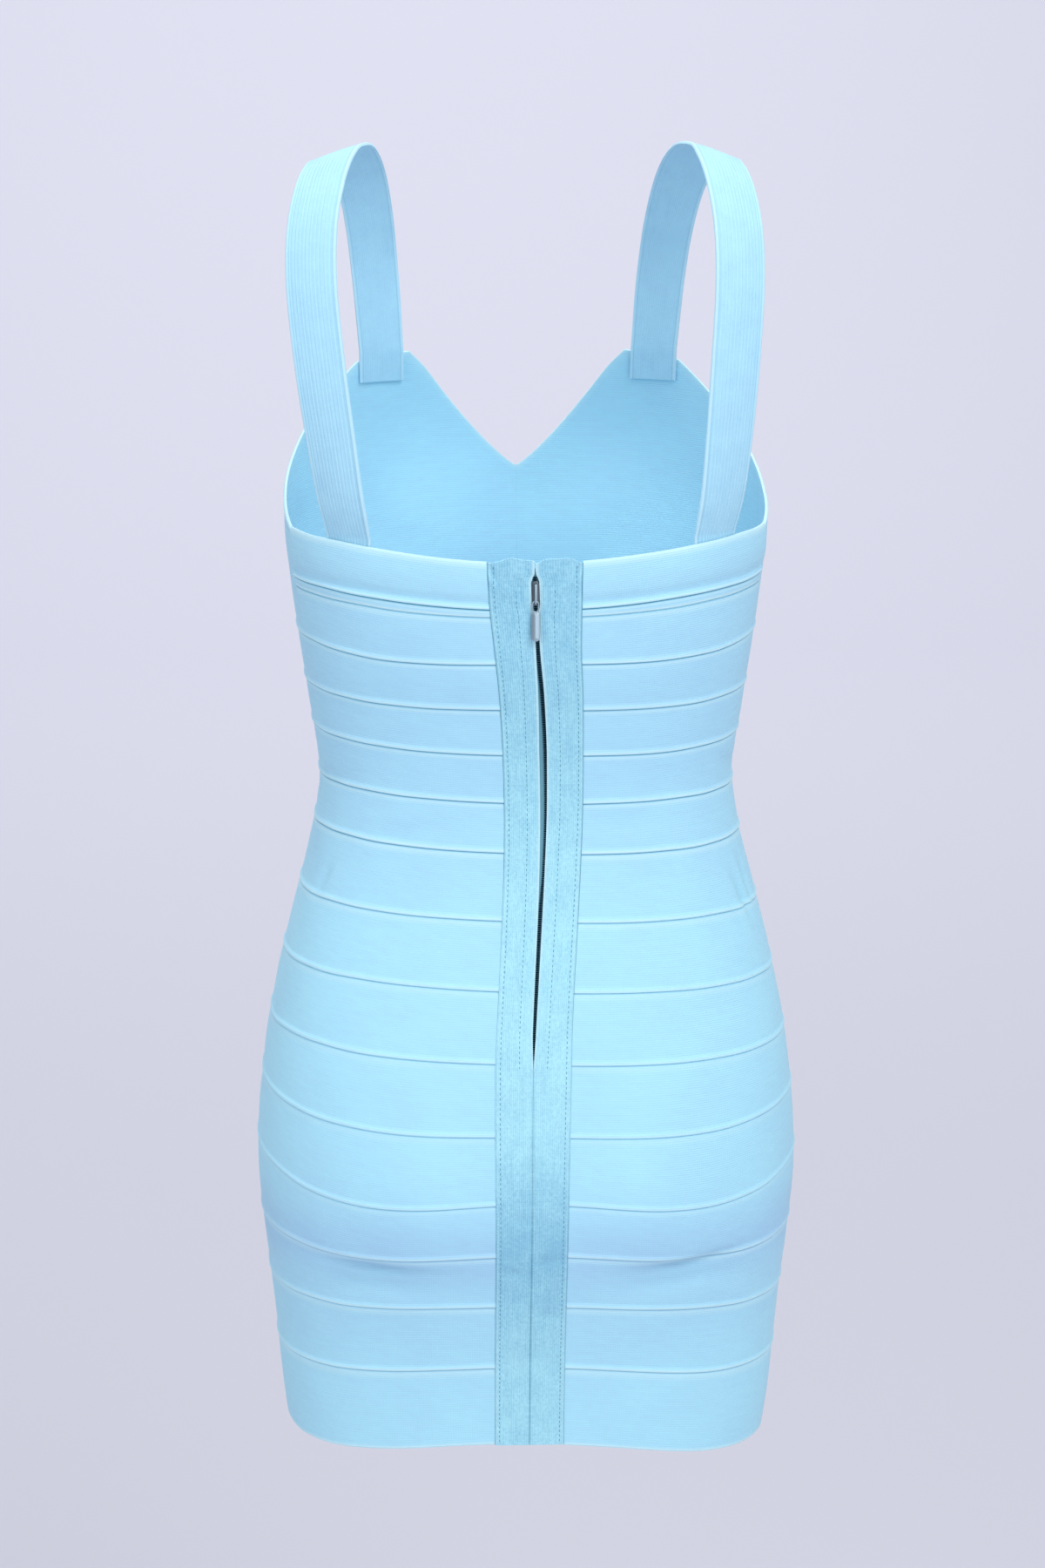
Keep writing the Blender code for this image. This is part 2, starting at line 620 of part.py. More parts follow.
def bridge_shape(hinge_depth):
    """Arch over the slider; its points are taken from the slider's seat."""
    bar_low = hinge_depth + LOOP_WIRE + LOOP_CLEAR
    bar_high = bar_low + BRIDGE_BAR
    leg_top = HINGE_HEIGHT - LOOP_WIRE - LOOP_CLEAR
    leg_end = leg_top - BRIDGE_BAR
    root = SLIDER_FACE - BRIDGE_SINK
    profile = [
        (root, BRIDGE_TOP), (bar_high - BRIDGE_CORNER, BRIDGE_TOP),
        (bar_high, BRIDGE_TOP - BRIDGE_CORNER), (bar_high, leg_end + BRIDGE_CORNER),
        (bar_high - BRIDGE_CORNER, leg_end), (root, leg_end), (root, leg_top),
        (bar_low, leg_top), (bar_low, BRIDGE_TOP - BRIDGE_BAR), (root, BRIDGE_TOP - BRIDGE_BAR),
    ]
    half = BRIDGE_WIDTH / 2
    return loft("zip_bridge_shape", [[(x, y, z) for y, z in profile] for x in (-half, half)])


def zip_slider(material):
    """Slider body with the bridge that carries the pull."""
    centre, surface = slider_seat()
    seat = Vector((centre, surface, 0.0))
    bottom = SLIDER_TOP - SLIDER_LENGTH
    mesh = plate("zip_slider", SLIDER_WIDTH / 2, SLIDER_TOP, bottom, SLIDER_CORNER, SLIDER_BACK, SLIDER_FACE)
    body = new_object("zip_slider", mesh, material)
    body.location = seat
    bridge = bridge_shape(hinge_point().y - surface)
    join_shape(body, "zip_bridge_shape", bridge, seat)


def wire_loop():
    """Closed loop of round wire, hanging from the hinge, in the pull's own frame."""
    run = LOOP_LENGTH - LOOP_WIRE - 2 * LOOP_RADIUS
    rings = []
    for middle, start in ((-LOOP_RADIUS, 0.0), (-LOOP_RADIUS - run, math.pi)):
        for step in range(BEND_STEPS + 1):
            angle = start + math.pi * step / BEND_STEPS
            radial = Vector((math.cos(angle), 0.0, math.sin(angle)))
            place = Vector((0.0, 0.0, middle)) + radial * LOOP_RADIUS
            ring = []
            for side in range(WIRE_SIDES):
                spoke = 2 * math.pi * (side + 0.5) / WIRE_SIDES
                out = radial * math.cos(spoke) + Vector((0.0, math.sin(spoke), 0.0))
                ring.append(place + out * LOOP_WIRE)
            rings.append(ring)
    return loft("pull_loop_shape", rings, closed=True)


def pull_tab(material):
    """Flat tab on the wire loop, with its origin on the joint's axis."""
    top = -LOOP_LENGTH + 2 * LOOP_WIRE
    half_thick = TAB_THICK / 2
    mesh = plate("pull_tab", TAB_WIDTH / 2, top, top - TAB_LENGTH, TAB_CORNER, -half_thick, half_thick)
    tab = new_object("pull_tab", mesh, material)
    tab.location = hinge_point()
    join_shape(tab, "pull_loop_shape", wire_loop(), tab.location)


# ---------------------------------------------------------------- materials
def finish(name, colour, roughness, metallic=0.0):
    material = bpy.data.materials.new(name)
    material.use_nodes = True
    shader = material.node_tree.nodes["Principled BSDF"]
    shader.inputs["Base Color"].default_value = (*colour, 1.0)
    shader.inputs["Roughness"].default_value = roughness
    shader.inputs["Metallic"].default_value = metallic
    return material


def build():
    for leftover in list(bpy.data.objects):
        bpy.data.objects.remove(leftover)
    knit = finish("knit_band", (0.39, 0.72, 0.97), 0.62)
    facing = finish("knit_facing", (0.33, 0.64, 0.86), 0.62)
    tape = finish("zip_tape", (0.30, 0.60, 0.80), 0.7)
    metal = finish("slider_metal", (0.80, 0.81, 0.83), 0.25, 1.0)
    for side, hand in ((1, "left"), (-1, "right")):
        strap(f"strap_{hand}", side, knit)
        back_band(f"top_band_{hand}", SEAMS[0], SEAMS[1], side, knit, puff=TOP_PUFF)
        back_band(f"narrow_band_{hand}", SEAMS[1], SEAMS[2], side, knit, lip=False)
        back_band(f"back_band_{hand}", SEAMS[2], SEAMS[3], side, knit)
        cup(f"cup_{hand}", side, knit)
        facing_strip(f"zip_facing_{hand}", side, facing)
        zip_tape(f"zip_tape_{hand}", side, tape)
    for number, (upper, lower) in enumerate(zip(SEAMS[3:], SEAMS[4:]), start=1):
        ring_band(f"band_{number:02d}", upper, lower, knit, lip=lower.name != "hem")
    zip_slider(metal)
    pull_tab(metal)


build()
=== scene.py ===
"""Looks of a bodycon dress of knitted bands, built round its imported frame.

Frame: metres, +Z up. The front of the dress faces -Y and its wearer's left is +X. The
origin lies midway between the undersides of the two strap crowns. Each cloth piece is a
thin closed wall that follows its own solid, with the folds, rolled hems and ribs that
the solid leaves out.
"""

import logging
import math
from dataclasses import dataclass, field, replace
from enum import Enum
from typing import NamedTuple, Sequence

import bmesh
import bpy
import numpy as np
from bpy.types import Material, Mesh, Node, NodeSocket, NodeTree, Object
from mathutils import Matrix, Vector


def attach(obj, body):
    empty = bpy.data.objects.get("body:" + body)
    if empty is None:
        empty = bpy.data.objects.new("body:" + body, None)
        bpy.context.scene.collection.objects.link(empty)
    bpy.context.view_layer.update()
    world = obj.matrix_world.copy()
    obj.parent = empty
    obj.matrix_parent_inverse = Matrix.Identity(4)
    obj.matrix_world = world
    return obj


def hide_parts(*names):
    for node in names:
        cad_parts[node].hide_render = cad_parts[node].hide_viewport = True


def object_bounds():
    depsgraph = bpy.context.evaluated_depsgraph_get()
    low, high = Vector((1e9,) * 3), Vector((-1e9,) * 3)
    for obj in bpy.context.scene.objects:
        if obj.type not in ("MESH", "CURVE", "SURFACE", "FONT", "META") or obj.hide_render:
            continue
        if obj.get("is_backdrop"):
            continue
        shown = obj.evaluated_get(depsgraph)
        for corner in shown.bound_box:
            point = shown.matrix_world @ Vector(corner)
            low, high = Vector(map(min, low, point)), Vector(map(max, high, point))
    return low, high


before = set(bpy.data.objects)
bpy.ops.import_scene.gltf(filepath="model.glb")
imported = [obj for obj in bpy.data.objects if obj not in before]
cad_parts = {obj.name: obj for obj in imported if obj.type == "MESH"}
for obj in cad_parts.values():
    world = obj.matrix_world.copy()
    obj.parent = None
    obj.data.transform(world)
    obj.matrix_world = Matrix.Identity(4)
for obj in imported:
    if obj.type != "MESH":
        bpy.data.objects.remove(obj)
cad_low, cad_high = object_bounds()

log = logging.getLogger("dress")
Grid = np.ndarray

MM = 0.001
DRESS_BODY = "dress"
PULL_BODY = "pull"

# ---- driving sizes
WALL = 1.6 * MM  # thickness of a knitted band
SEAM_GAP = 0.05 * MM  # clear space between pieces that are sewn together
SIDE_SEAM = 75.7  # degrees round from the centre back
MIDDLE_ACROSS = 0.65  # where along the half width a seam's middle height is taken
STRETCH = 1.12  # worn length of a band of the knit over its cut length
RIB_PITCH = 1.3 * MM  # distance between the knit's ribs
KNIT_LOOP = 1.5 * MM  # length of one knitted loop along a rib
METAL_CREASE = 40.0  # degrees at which two faces of metal meet in a sharp edge
LEAST_BLANK = 10.0 * MM  # narrowest blank that a piece is cut from


def metres(kind: type, rows: Sequence[tuple], plain: str = "") -> tuple:
    """Make the rows of a table whose lengths are given in millimetres.

    Args:
        kind: Named tuple of a row.
        rows: Values of each row.
        plain: Names of the columns that aren't lengths.

    Returns:
        The rows in metres.
    """
    factors = [1 if name in plain.split() else MM for name in kind._fields]
    return tuple(kind(*(value * factor for value, factor in zip(row, factors))) for row in rows)


class Section(NamedTuple):
    """Outer size of the dress at one height; square is 2 for an ellipse."""

    height: float
    half_width: float
    back: float
    front: float
    square: float


SECTIONS = metres(Section, (
    (-100, 150.0, 100.0, 108.0, 2.40),
    (-140, 150.0, 100.0, 116.5, 2.40),
    (-180, 149.8, 100.0, 123.0, 2.40),
    (-210, 149.0, 99.5, 123.5, 2.40),
    (-240, 147.8, 98.5, 118.5, 2.40),
    (-300, 140.0, 93.0, 101.0, 2.40),
    (-340, 134.0, 85.0, 92.5, 2.40),
    (-382, 128.8, 80.0, 88.0, 2.40),
    (-420, 134.0, 82.0, 90.5, 2.40),
    (-460, 144.0, 89.0, 95.5, 2.40),
    (-510, 156.0, 101.0, 100.5, 2.45),
    (-560, 165.2, 111.0, 102.0, 2.50),
    (-620, 170.4, 117.5, 100.0, 2.50),
    (-660, 168.7, 116.0, 98.0, 2.55),
    (-700, 164.3, 107.5, 96.0, 2.60),
    (-740, 160.2, 99.0, 94.0, 2.60),
    (-780, 156.8, 94.5, 92.5, 2.60),
    (-820, 152.0, 92.0, 91.5, 2.60),
), plain="square")
SIDE_GAP = SEAM_GAP / 2 / SECTIONS[4].half_width  # half a seam's gap, as a turn


class Fullness(NamedTuple):
    """Soft fullness on each half of the figure; side +1 is the back."""

    across: float
    height: float
    reach_across: float
    reach_up: float
    rise: float
    side: int


FULLNESS = metres(Fullness, (
    (72, -195, 45, 50, 8, -1),
    (70, -640, 42, 45, 5, 1),
), plain="side")


class Seam(NamedTuple):
    """Heights of a seam at the centre back, halfway, the side and the centre front."""

    name: str
    back: float
    middle: float
    side: float
    front: float
    lean: float


SEAMS = metres(Seam, (
    ("top", -234.4, -227.4, -222.5, -222.5, 0.0),
    ("top_hem", -263.2, -258.0, -252.6, -252.0, 0.0),
    ("cord_hem", -268.0, -264.2, -258.5, -258.5, 0.0),
    ("ring_01", -297.0, -296.6, -289.0, -292.0, 0.004),
    ("ring_02", -326.3, -326.2, -322.0, -322.0, 0.015),
    ("ring_03", -355.5, -354.8, -351.0, -352.0, 0.024),
    ("ring_04", -386.2, -385.1, -383.4, -385.0, 0.028),
    ("ring_05", -417.2, -416.3, -413.9, -416.4, 0.033),
    ("ring_06", -458.5, -458.1, -457.0, -458.6, 0.038),
    ("ring_07", -500.3, -499.9, -499.0, -501.0, 0.038),
    ("ring_08", -543.7, -543.4, -540.2, -544.0, 0.034),
    ("ring_09", -587.9, -588.4, -578.0, -586.0, 0.025),
    ("ring_10", -630.0, -635.8, -619.5, -629.0, 0.020),
    ("ring_11", -664.3, -670.8, -665.6, -669.0, 0.020),
    ("ring_12", -700.2, -706.2, -706.5, -708.0, 0.027),
    ("ring_13", -743.7, -751.8, -751.8, -754.0, 0.028),
    ("hem", -796.7, -806.2, -808.0, -811.0, 0.032),
), plain="name lean")
FIRST_RING = 3  # number of the seam over the first band that runs all round
TOP, HEM = SEAMS[0], SEAMS[-1]


class EdgePoint(NamedTuple):
    """Point of the front's top edge: degrees round from the centre back, and height."""

    turn: float
    height: float


ARMHOLE = (
    EdgePoint(SIDE_SEAM, -223.5 * MM),
    EdgePoint(90.0, -210.5 * MM),
    EdgePoint(105.7, -193.0 * MM),
    EdgePoint(118.4, -175.0 * MM),
    EdgePoint(130.5, -156.0 * MM),
    EdgePoint(140.5, -139.5 * MM),
)
STRAP_EDGE = (ARMHOLE[-1], EdgePoint(156.8, -134.5 * MM))
NECKLINE = (
    STRAP_EDGE[-1],
    EdgePoint(161.0, -145.5 * MM),
    EdgePoint(166.5, -165.0 * MM),
    EdgePoint(173.5, -189.5 * MM),
    EdgePoint(180.0, -211.0 * MM),
)


class StripRow(NamedTuple):
    """Zip facing at one height: centre line, width of a strip, space between strips."""

    height: float
    centre: float
    width: float
    gap: float


STRIP_ROWS = metres(StripRow, (
    (-225.0, -0.2, 29.2, 0.4),
    (-240.5, -0.3, 28.6, 0.5),
    (-244.8, -0.3, 28.4, 4.9),
    (-260.5, -0.8, 27.9, 4.9),
    (-265.5, -1.0, 27.6, 2.4),
    (-290.0, -2.4, 26.2, 2.6),
    (-317.0, -4.5, 25.4, 3.7),
    (-352.0, -6.0, 24.6, 4.7),
    (-392.0, -6.5, 24.0, 4.1),
    (-425.0, -5.6, 23.5, 3.3),
    (-460.0, -3.8, 23.2, 2.7),
    (-500.0, -1.2, 23.0, 2.4),
    (-527.0, 0.4, 23.1, 2.0),
    (-547.0, 1.1, 23.3, 0.12),
    (-600.0, 2.0, 22.8, 0.12),
    (-660.0, 2.4, 22.2, 0.12),
    (-830.0, 2.7, 21.5, 0.12),
))


class CoilRow(NamedTuple):
    """Zip coil at one height: how far it lies off the strips' middle, and its width; they lay its
    near-black painted shade in the gap.
    """

    height: float
    off: float
    width: float


COIL_ROWS = metres(CoilRow, (
    (-243.0, 0.0, 3.0),
    (-262.0, 0.0, 2.4),
    (-298.0, 0.0, 2.6),
    (-322.0, -0.70, 2.6),
    (-352.0, -1.30, 2.3),
    (-392.0, -1.30, 1.8),
    (-430.0, -0.85, 1.7),
    (-456.0, 0.0, 2.6),
    (-540.0, 0.0, 2.1),
))


class StrapRow(NamedTuple):
    """Middle of the left strap's inner side, its roll in degrees, and its sway."""

    x: float
    y: float
    z: float
    roll: float
    sway: float


STRAP_ROWS = metres(StrapRow, (
    (114.6, 75.8, -200.0, 30.0, 0.3),
    (119.0, 77.6, -165.0, 24.0, 1.2),
    (123.8, 75.8, -120.0, 19.0, 2.5),
    (127.6, 67.6, -73.0, 18.0, 3.2),
    (127.2, 55.0, -40.0, 18.0, 3.0),
    (123.0, 36.0, -15.5, 19.0, 2.2),
    (117.6, 16.0, -2.5, 20.0, 1.2),
    (112.5, 0.0, 0.0, 21.0, 0.0),
    (105.5, -24.0, -4.5, 21.0, 0.0),
    (99.0, -50.0, -21.0, 21.0, 0.0),
    (94.0, -73.0, -49.0, 22.0, 0.0),
    (90.6, -89.5, -82.0, 24.0, 0.0),
), plain="roll")
BACK_FOOT = StrapRow(111.8 * MM, 0.0, -223.0 * MM, 33.0, 0.0)
FRONT_FOOT = StrapRow(87.8 * MM, 0.0, -132.5 * MM, 25.0, 0.0)


class Fold(NamedTuple):
    """Soft fold: its place, half length, width, height (negative sinks) and tilt."""

    turn: float
    height: float
    reach: float
    width: float
    rise: float
    tilt: float


FOLDS = metres(Fold, (
    (-66.0, -455.0, 19.0, 5.5, -2.4, 66.0),
    (-72.0, -447.0, 15.0, 4.5, -1.9, 74.0),
    (-60.0, -470.0, 14.0, 6.5, -0.7, 58.0),
    (64.0, -441.0, 13.0, 5.0, -0.9, 112.0),
    (-74.0, -372.0, 16.0, 6.0, -0.8, 12.0),
    (71.0, -379.0, 19.0, 7.0, -0.9, -9.0),
    (-27.0, -682.0, 40.0, 14.0, -2.2, -4.0),
    (28.5, -683.0, 44.0, 14.5, -2.4, 3.0),
    (-29.0, -674.5, 31.0, 4.8, -2.4, -4.0),
    (30.5, -675.0, 34.0, 5.0, -2.6, 3.0),
    (-46.0, -690.0, 30.0, 12.0, -0.9, 16.0),
    (48.0, -693.0, 26.0, 11.0, -0.7, -13.0),
    (-24.0, -399.0, 34.0, 9.0, -0.6, 5.0),
    (31.0, -405.0, 28.0, 8.0, -0.5, -8.0),
    (-101.0, -392.0, 21.0, 7.0, -1.0, -15.0),
    (104.0, -384.0, 24.0, 8.0, -1.1, 13.0),
    (-128.0, -455.0, 30.0, 8.5, -0.9, 28.0),
    (133.0, -449.0, 26.0, 9.0, -0.8, -31.0),
    (-156.0, -402.0, 33.0, 9.0, -0.7, -6.0),
    (161.0, -410.0, 25.0, 7.5, -0.6, 8.0),
    (-150.0, -268.0, 27.0, 8.0, -0.9, 18.0),
    (147.0, -263.0, 31.0, 9.0, -1.0, -21.0),
    (-108.0, -612.0, 22.0, 8.0, -0.7, 35.0),
    (112.0, -598.0, 26.0, 8.5, -0.8, -29.0),
), plain="turn tilt")


class Pucker(NamedTuple):
    """Small crumple of the zip facing, flat on the back: place, size, rise and tilt."""

    x: float
    height: float
    reach: float
    width: float
    rise: float
    tilt: float


PUCKERS = metres(Pucker, (
    (24.8, -241.0, 7.0, 1.7, -0.75, 64.0),
    (26.9, -243.5, 6.0, 1.5, 0.45, 68.0),
    (-25.6, -240.0, 6.0, 1.6, -0.75, 115.0),
    (-23.4, -243.0, 7.0, 1.8, 0.40, 109.0),
    (4.7, -239.0, 4.5, 1.3, -0.70, 66.0),
    (7.4, -241.5, 5.0, 1.6, 0.45, 72.0),
    (-5.2, -238.0, 4.0, 1.3, -0.55, 112.0),
    (13.0, -246.0, 9.0, 2.6, -0.30, 22.0),
    (18.0, -252.0, 9.0, 2.4, 0.30, 35.0),
    (8.8, -254.0, 8.0, 1.8, -0.40, 84.0),
    (-12.5, -252.0, 9.0, 2.0, -0.40, 93.0),
    (-17.5, -249.0, 8.0, 2.6, 0.30, 150.0),
    (-9.5, -266.0, 9.0, 2.6, -0.30, 78.0),
    (11.0, -272.0, 9.0, 2.4, -0.30, 96.0),
    (9.0, -640.0, 10.0, 4.5, -0.50, 12.0),
    (-9.0, -668.0, 11.0, 4.0, -0.50, -9.0),
    (13.0, -676.0, 9.0, 3.5, -0.45, 6.0),
    (-8.0, -706.0, 9.0, 4.0, -0.40, 11.0),
), plain="tilt")


class Tension(NamedTuple):
    """Painted shade at one height: how dark bands and facings are painted, 0 for none, and how strongly
    seam shade and edge highlights are painted.
    """

    height: float
    band: float
    facing: float
    seam: float


# Painted shade by height: darkest under the seat and also darker near the top; the last column sets the
# strength of the painted seam shade and edge highlights.
SHADE_TABLE = metres(Tension, (
    (0.0, 0.10, 0.20, 1.00),
    (-225.0, 0.22, 0.75, 1.60),
    (-275.0, 0.40, 0.70, 1.60),
    (-340.0, 0.45, 0.45, 1.60),
    (-420.0, 0.28, 0.20, 1.35),
    (-460.0, 0.08, 0.05, 0.80),
    (-590.0, 0.06, 0.20, 0.52),
    (-632.0, 0.20, 0.70, 0.60),
    (-657.0, 0.75, 0.90, 0.90),
    (-672.0, 0.85, 0.90, 0.90),
    (-690.0, 0.42, 0.70, 0.95),
    (-715.0, 0.24, 0.45, 1.00),
    (-750.0, 0.06, 0.20, 1.00),
    (-830.0, 0.04, 0.20, 1.00),
), plain="band facing seam")


class Hand(Enum):
    """Half of the dress that a piece is on, named for its wearer's hand."""

    LEFT = 1
    RIGHT = -1

    @property
    def word(self) -> str:
        """Name of the hand, as the pieces' names hold it."""
        return self.name.lower()


class Hold(Enum):
    """How a piece of cloth is held in the worn dress."""

    STRETCHED = "stretched"
    HUNG = "hung"


# ---- tables and surface
def smooth_column(rows: Sequence[tuple], height: Grid, column: int) -> Grid:
    """Read one column of a table smoothly between its rows.

    Args:
        rows: Table, from the top down.
        height: Heights to read at.
        column: Number of the column to read.

    Returns:
        Value of the column at each height.
    """
    levels = np.array([row[0] for row in rows], float)
    values = np.array([row[column] for row in rows], float)
    before = np.maximum(np.arange(len(rows)) - 1, 0)
    after = np.minimum(np.arange(len(rows)) + 1, len(rows) - 1)
    slopes = (values[after] - values[before]) / (levels[after] - levels[before])
    height = np.asarray(height, float)
    place = np.clip(np.searchsorted(-levels, -height, side="right") - 1, 0, len(rows) - 2)
    span = levels[place + 1] - levels[place]
    t = (height - levels[place]) / span
    start = (2 * t**3 - 3 * t**2 + 1) * values[place] + (t**3 - 2 * t**2 + t) * span * slopes[place]
    end = (3 * t**2 - 2 * t**3) * values[place + 1] + (t**3 - t**2) * span * slopes[place + 1]
    return start + end


def straight_column(rows: Sequence[tuple], height: Grid, column: int) -> Grid:
    """Read one column of a table along straight lines between its rows.

    Args:
        rows: Table, from the top down.
        height: Heights to read at.
        column: Number of the column to read.

    Returns:
        Value of the column at each height.
    """
    levels = np.array([row[0] for row in rows], float)
    values = np.array([row[column] for row in rows], float)
    return np.interp(-np.asarray(height, float), -levels, values)


def smooth_step(value: Grid) -> Grid:
    """Ease a share from 0 to 1, flat at both ends."""
    share = np.clip(value, 0.0, 1.0)
    return share * share * (3.0 - 2.0 * share)


def soft_ripple(along: Grid, across: Grid, reach: float, width: float) -> Grid:
    """Shape of one soft fold: 1 on its line, a little below 0 beside it, 0 far away."""
    side = (across / width) ** 2
    return np.exp(-((along / reach) ** 2)) * (1.0 - side) * np.exp(-side)


@dataclass(frozen=True)
class Figure:
    """Outer surface of the worn dress, which every cloth piece is read from."""

    sections: tuple[Section, ...] = SECTIONS
    fullness: tuple[Fullness, ...] = FULLNESS
    folds: tuple[Fold, ...] = FOLDS
    fold_depth: float = 30.0 * MM  # how far off its own plane a fold still acts
    drift: float = 0.16 * MM  # uneven tension of the knit
    seam_wave: float = 0.35 * MM  # how far a seam strays from its smooth line

    def points(self, turn: Grid, height: Grid) -> Grid:
        """Points of the surface.

        Args:
            turn: Radians from the centre back to +X.
            height: Height of each point.

        Returns:
            Points, one for each turn and height.
        """
        turn, height = np.broadcast_arrays(np.asarray(turn, float), np.asarray(height, float))
        half_width, back, front, square = (
            smooth_column(self.sections, height, column) for column in range(1, 5)
        )
        sine, cosine = np.sin(turn), np.cos(turn)
        at_back = cosine > 0.0
        x = np.sign(sine) * half_width * np.abs(sine) ** (2.0 / square)
        y = np.where(at_back, back, -front) * np.abs(cosine) ** (2.0 / square)
        for swell in self.fullness:
            across = (np.abs(x) - swell.across) / swell.reach_across
            up = (height - swell.height) / swell.reach_up
            fade = np.minimum(1.0, np.abs(cosine) * 2.0)
            rise = swell.side * fade * swell.rise * np.exp(-across * across - up * up)
            y = y + np.where(at_back == (swell.side > 0), rise, 0.0)
        return np.stack([x, y, height], axis=-1)

    def outward(self, turn: Grid, height: Grid) -> Grid:
        """Unit normals of the surface.

        Args:
            turn: Radians from the centre back to +X.
            height: Height of each point.

        Returns:
            Outward unit vectors, one for each turn and height.
        """
        step_turn, step_height = 0.004, 1.0 * MM
        round_way = self.points(turn + step_turn, height) - self.points(turn - step_turn, height)
        up_way = self.points(turn, height + step_height) - self.points(turn, height - step_height)
        normal = np.cross(up_way, round_way)
        return normal / np.linalg.norm(normal, axis=-1, keepdims=True)

    def relief(self, points: Grid) -> Grid:
        """How far the soft folds and the knit's uneven tension lift the cloth.

        Args:
            points: Points of the surface.

        Returns:
            Lift at each point; a trough is negative.
        """
        lift = np.zeros(points.shape[:-1])
        for fold in self.folds:
            turn = np.array(math.radians(fold.turn))
            height = np.array(fold.height)
            middle = self.points(turn, height)
            normal = self.outward(turn, height)
            level = np.cross(normal, [0.0, 0.0, 1.0])
            level = level / np.linalg.norm(level)
            upright = np.cross(level, normal)
            tilt = math.radians(fold.tilt)
            line = level * math.cos(tilt) + upright * math.sin(tilt)
            beside = upright * math.cos(tilt) - level * math.sin(tilt)
            away = points - middle
            near = np.exp(-((away @ normal / self.fold_depth) ** 2))
            ripple = soft_ripple(away @ line, away @ beside, fold.reach, fold.width)
            lift = lift + fold.rise * near * ripple
        x, y, z = points[..., 0], points[..., 1], points[..., 2]
        # Two crossed pairs of long waves, in radians a metre, that never line up.
        uneven = np.sin(61.0 * x + 37.0 * z + 0.6) * np.sin(83.0 * z - 29.0 * y + 1.9)
        uneven = uneven + 0.6 * np.sin(127.0 * x - 59.0 * z + 2.2) * np.sin(101.0 * y + 71.0 * z)
        return lift + self.drift * uneven

    def skin(self, turn: Grid, height: Grid, offset: Grid) -> Grid:
        """Points at a distance outside the surface, with the soft folds.

        Args:
            turn: Radians from the centre back to +X.
            height: Height of each point.
            offset: Distance outside the surface at each point.

        Returns:
            Points, one for each turn and height.
        """
        surface = self.points(turn, height)
        lift = np.asarray(offset) + self.relief(surface)
        return surface + self.outward(turn, height) * lift[..., None]

    def turn_at(self, x: Grid, height: Grid, front: bool = False) -> Grid:
        """Turn at which the surface has a given x.

        Args:
            x: Sideways place of each point.
            height: Height of each point.
            front: True for the front of the figure.

        Returns:
            Radians from the centre back to +X.
        """
        share = np.minimum(1.0, np.abs(x) / smooth_column(self.sections, height, 1))
        angle = np.arcsin(share ** (smooth_column(self.sections, height, 4) / 2.0))
        return np.copysign(math.pi - angle if front else angle, x)

    def seam_height(self, seam: Seam, turn: Grid) -> Grid:
        """Height of a seam line at each turn.

        Args:
            seam: Row of the seam table.
            turn: Radians from the centre back to +X.

        Returns:
            Height at each turn, with the seam's lean and its slight waver.
        """
        turn = np.asarray(turn, float)
        share = np.abs(np.sin(turn)) ** 0.8
        middle, side = seam.middle - seam.back, seam.side - seam.back
        square, fourth = MIDDLE_ACROSS**2, MIDDLE_ACROSS**4
        bend = (middle - fourth * side) / (square - fourth)
        behind = seam.back + bend * share**2 + (side - bend) * share**4
        before = seam.front + (seam.side - seam.front) * share**2
        level = np.where(np.cos(turn) >= 0.0, behind, before)
        across = np.copysign(share, np.sin(turn)) * smooth_column(self.sections, seam.back, 1)
        phase = seam.back * 211.0
        wave = np.sin(3.0 * turn + phase) + 0.7 * np.sin(8.0 * turn - 1.7 * phase)
        wave = wave + 0.45 * np.sin(17.0 * turn + 2.3 * phase)
        return level + seam.lean * across + self.seam_wave * wave * np.sin(turn) ** 2


FIGURE = Figure()


def strip_edge(height: Grid, side: int) -> Grid:
    """Outer edge of a facing strip; side +1 is the wearer's left."""
    return smooth_column(STRIP_ROWS, height, 1) + side * smooth_column(STRIP_ROWS, height, 2)


# ---- meshes
def run_length(points: Grid, axis: int) -> Grid:
    """Distance along a grid of points from its first row or column.

    Args:
        points: Grid of points.
        axis: 0 measures down the columns, 1 along the rows.

    Returns:
        Distance at each point of the grid.
    """
    steps = np.linalg.norm(np.diff(points, axis=axis), axis=-1)
    shape = list(steps.shape)
    shape[axis] = 1
    return np.concatenate([np.zeros(shape), np.cumsum(steps, axis=axis)], axis=axis)


def add_object(name: str, data: bpy.types.ID) -> Object:
    """Make an object at the origin and link it to the scene.

    Args:
        name: Name of the object.
        data: Its mesh, light or camera.

    Returns:
        The new object.
    """
    piece = bpy.data.objects.new(name, data)
    bpy.context.scene.collection.objects.link(piece)
    return piece


class Line(NamedTuple):
    """Soft line beside an edge: how far in it lies, and how far it spreads."""

    place: float
    reach: float


HEM_LINE = Line(0.9 * MM, 1.0 * MM)  # painted highlight on the crest of a band's lower hem
TURN_LINE = Line(1.6 * MM, 0.7 * MM)  # painted highlight where a band comes out from its seam
TOP_LINE = Line(0.0, 1.1 * MM)  # painted highlight on the folded edge of the top band
BOUND_LINE = Line(0.0, 1.6 * MM)  # painted highlight on the bound edge of a front piece
BINDING_SEAM = Line(3.0 * MM, 0.35 * MM)  # darker line of the seam that holds the binding: thread and painted shade
STITCH_PLACE = 0.1 * MM  # how far below its edge a seam's thread lies


def line_mask(distance: Grid, place: float, reach: float) -> Grid:
    """Soft line at a distance from an edge: 1 on it and 0 far from it."""
    return np.exp(-(((distance - place) / reach) ** 2))


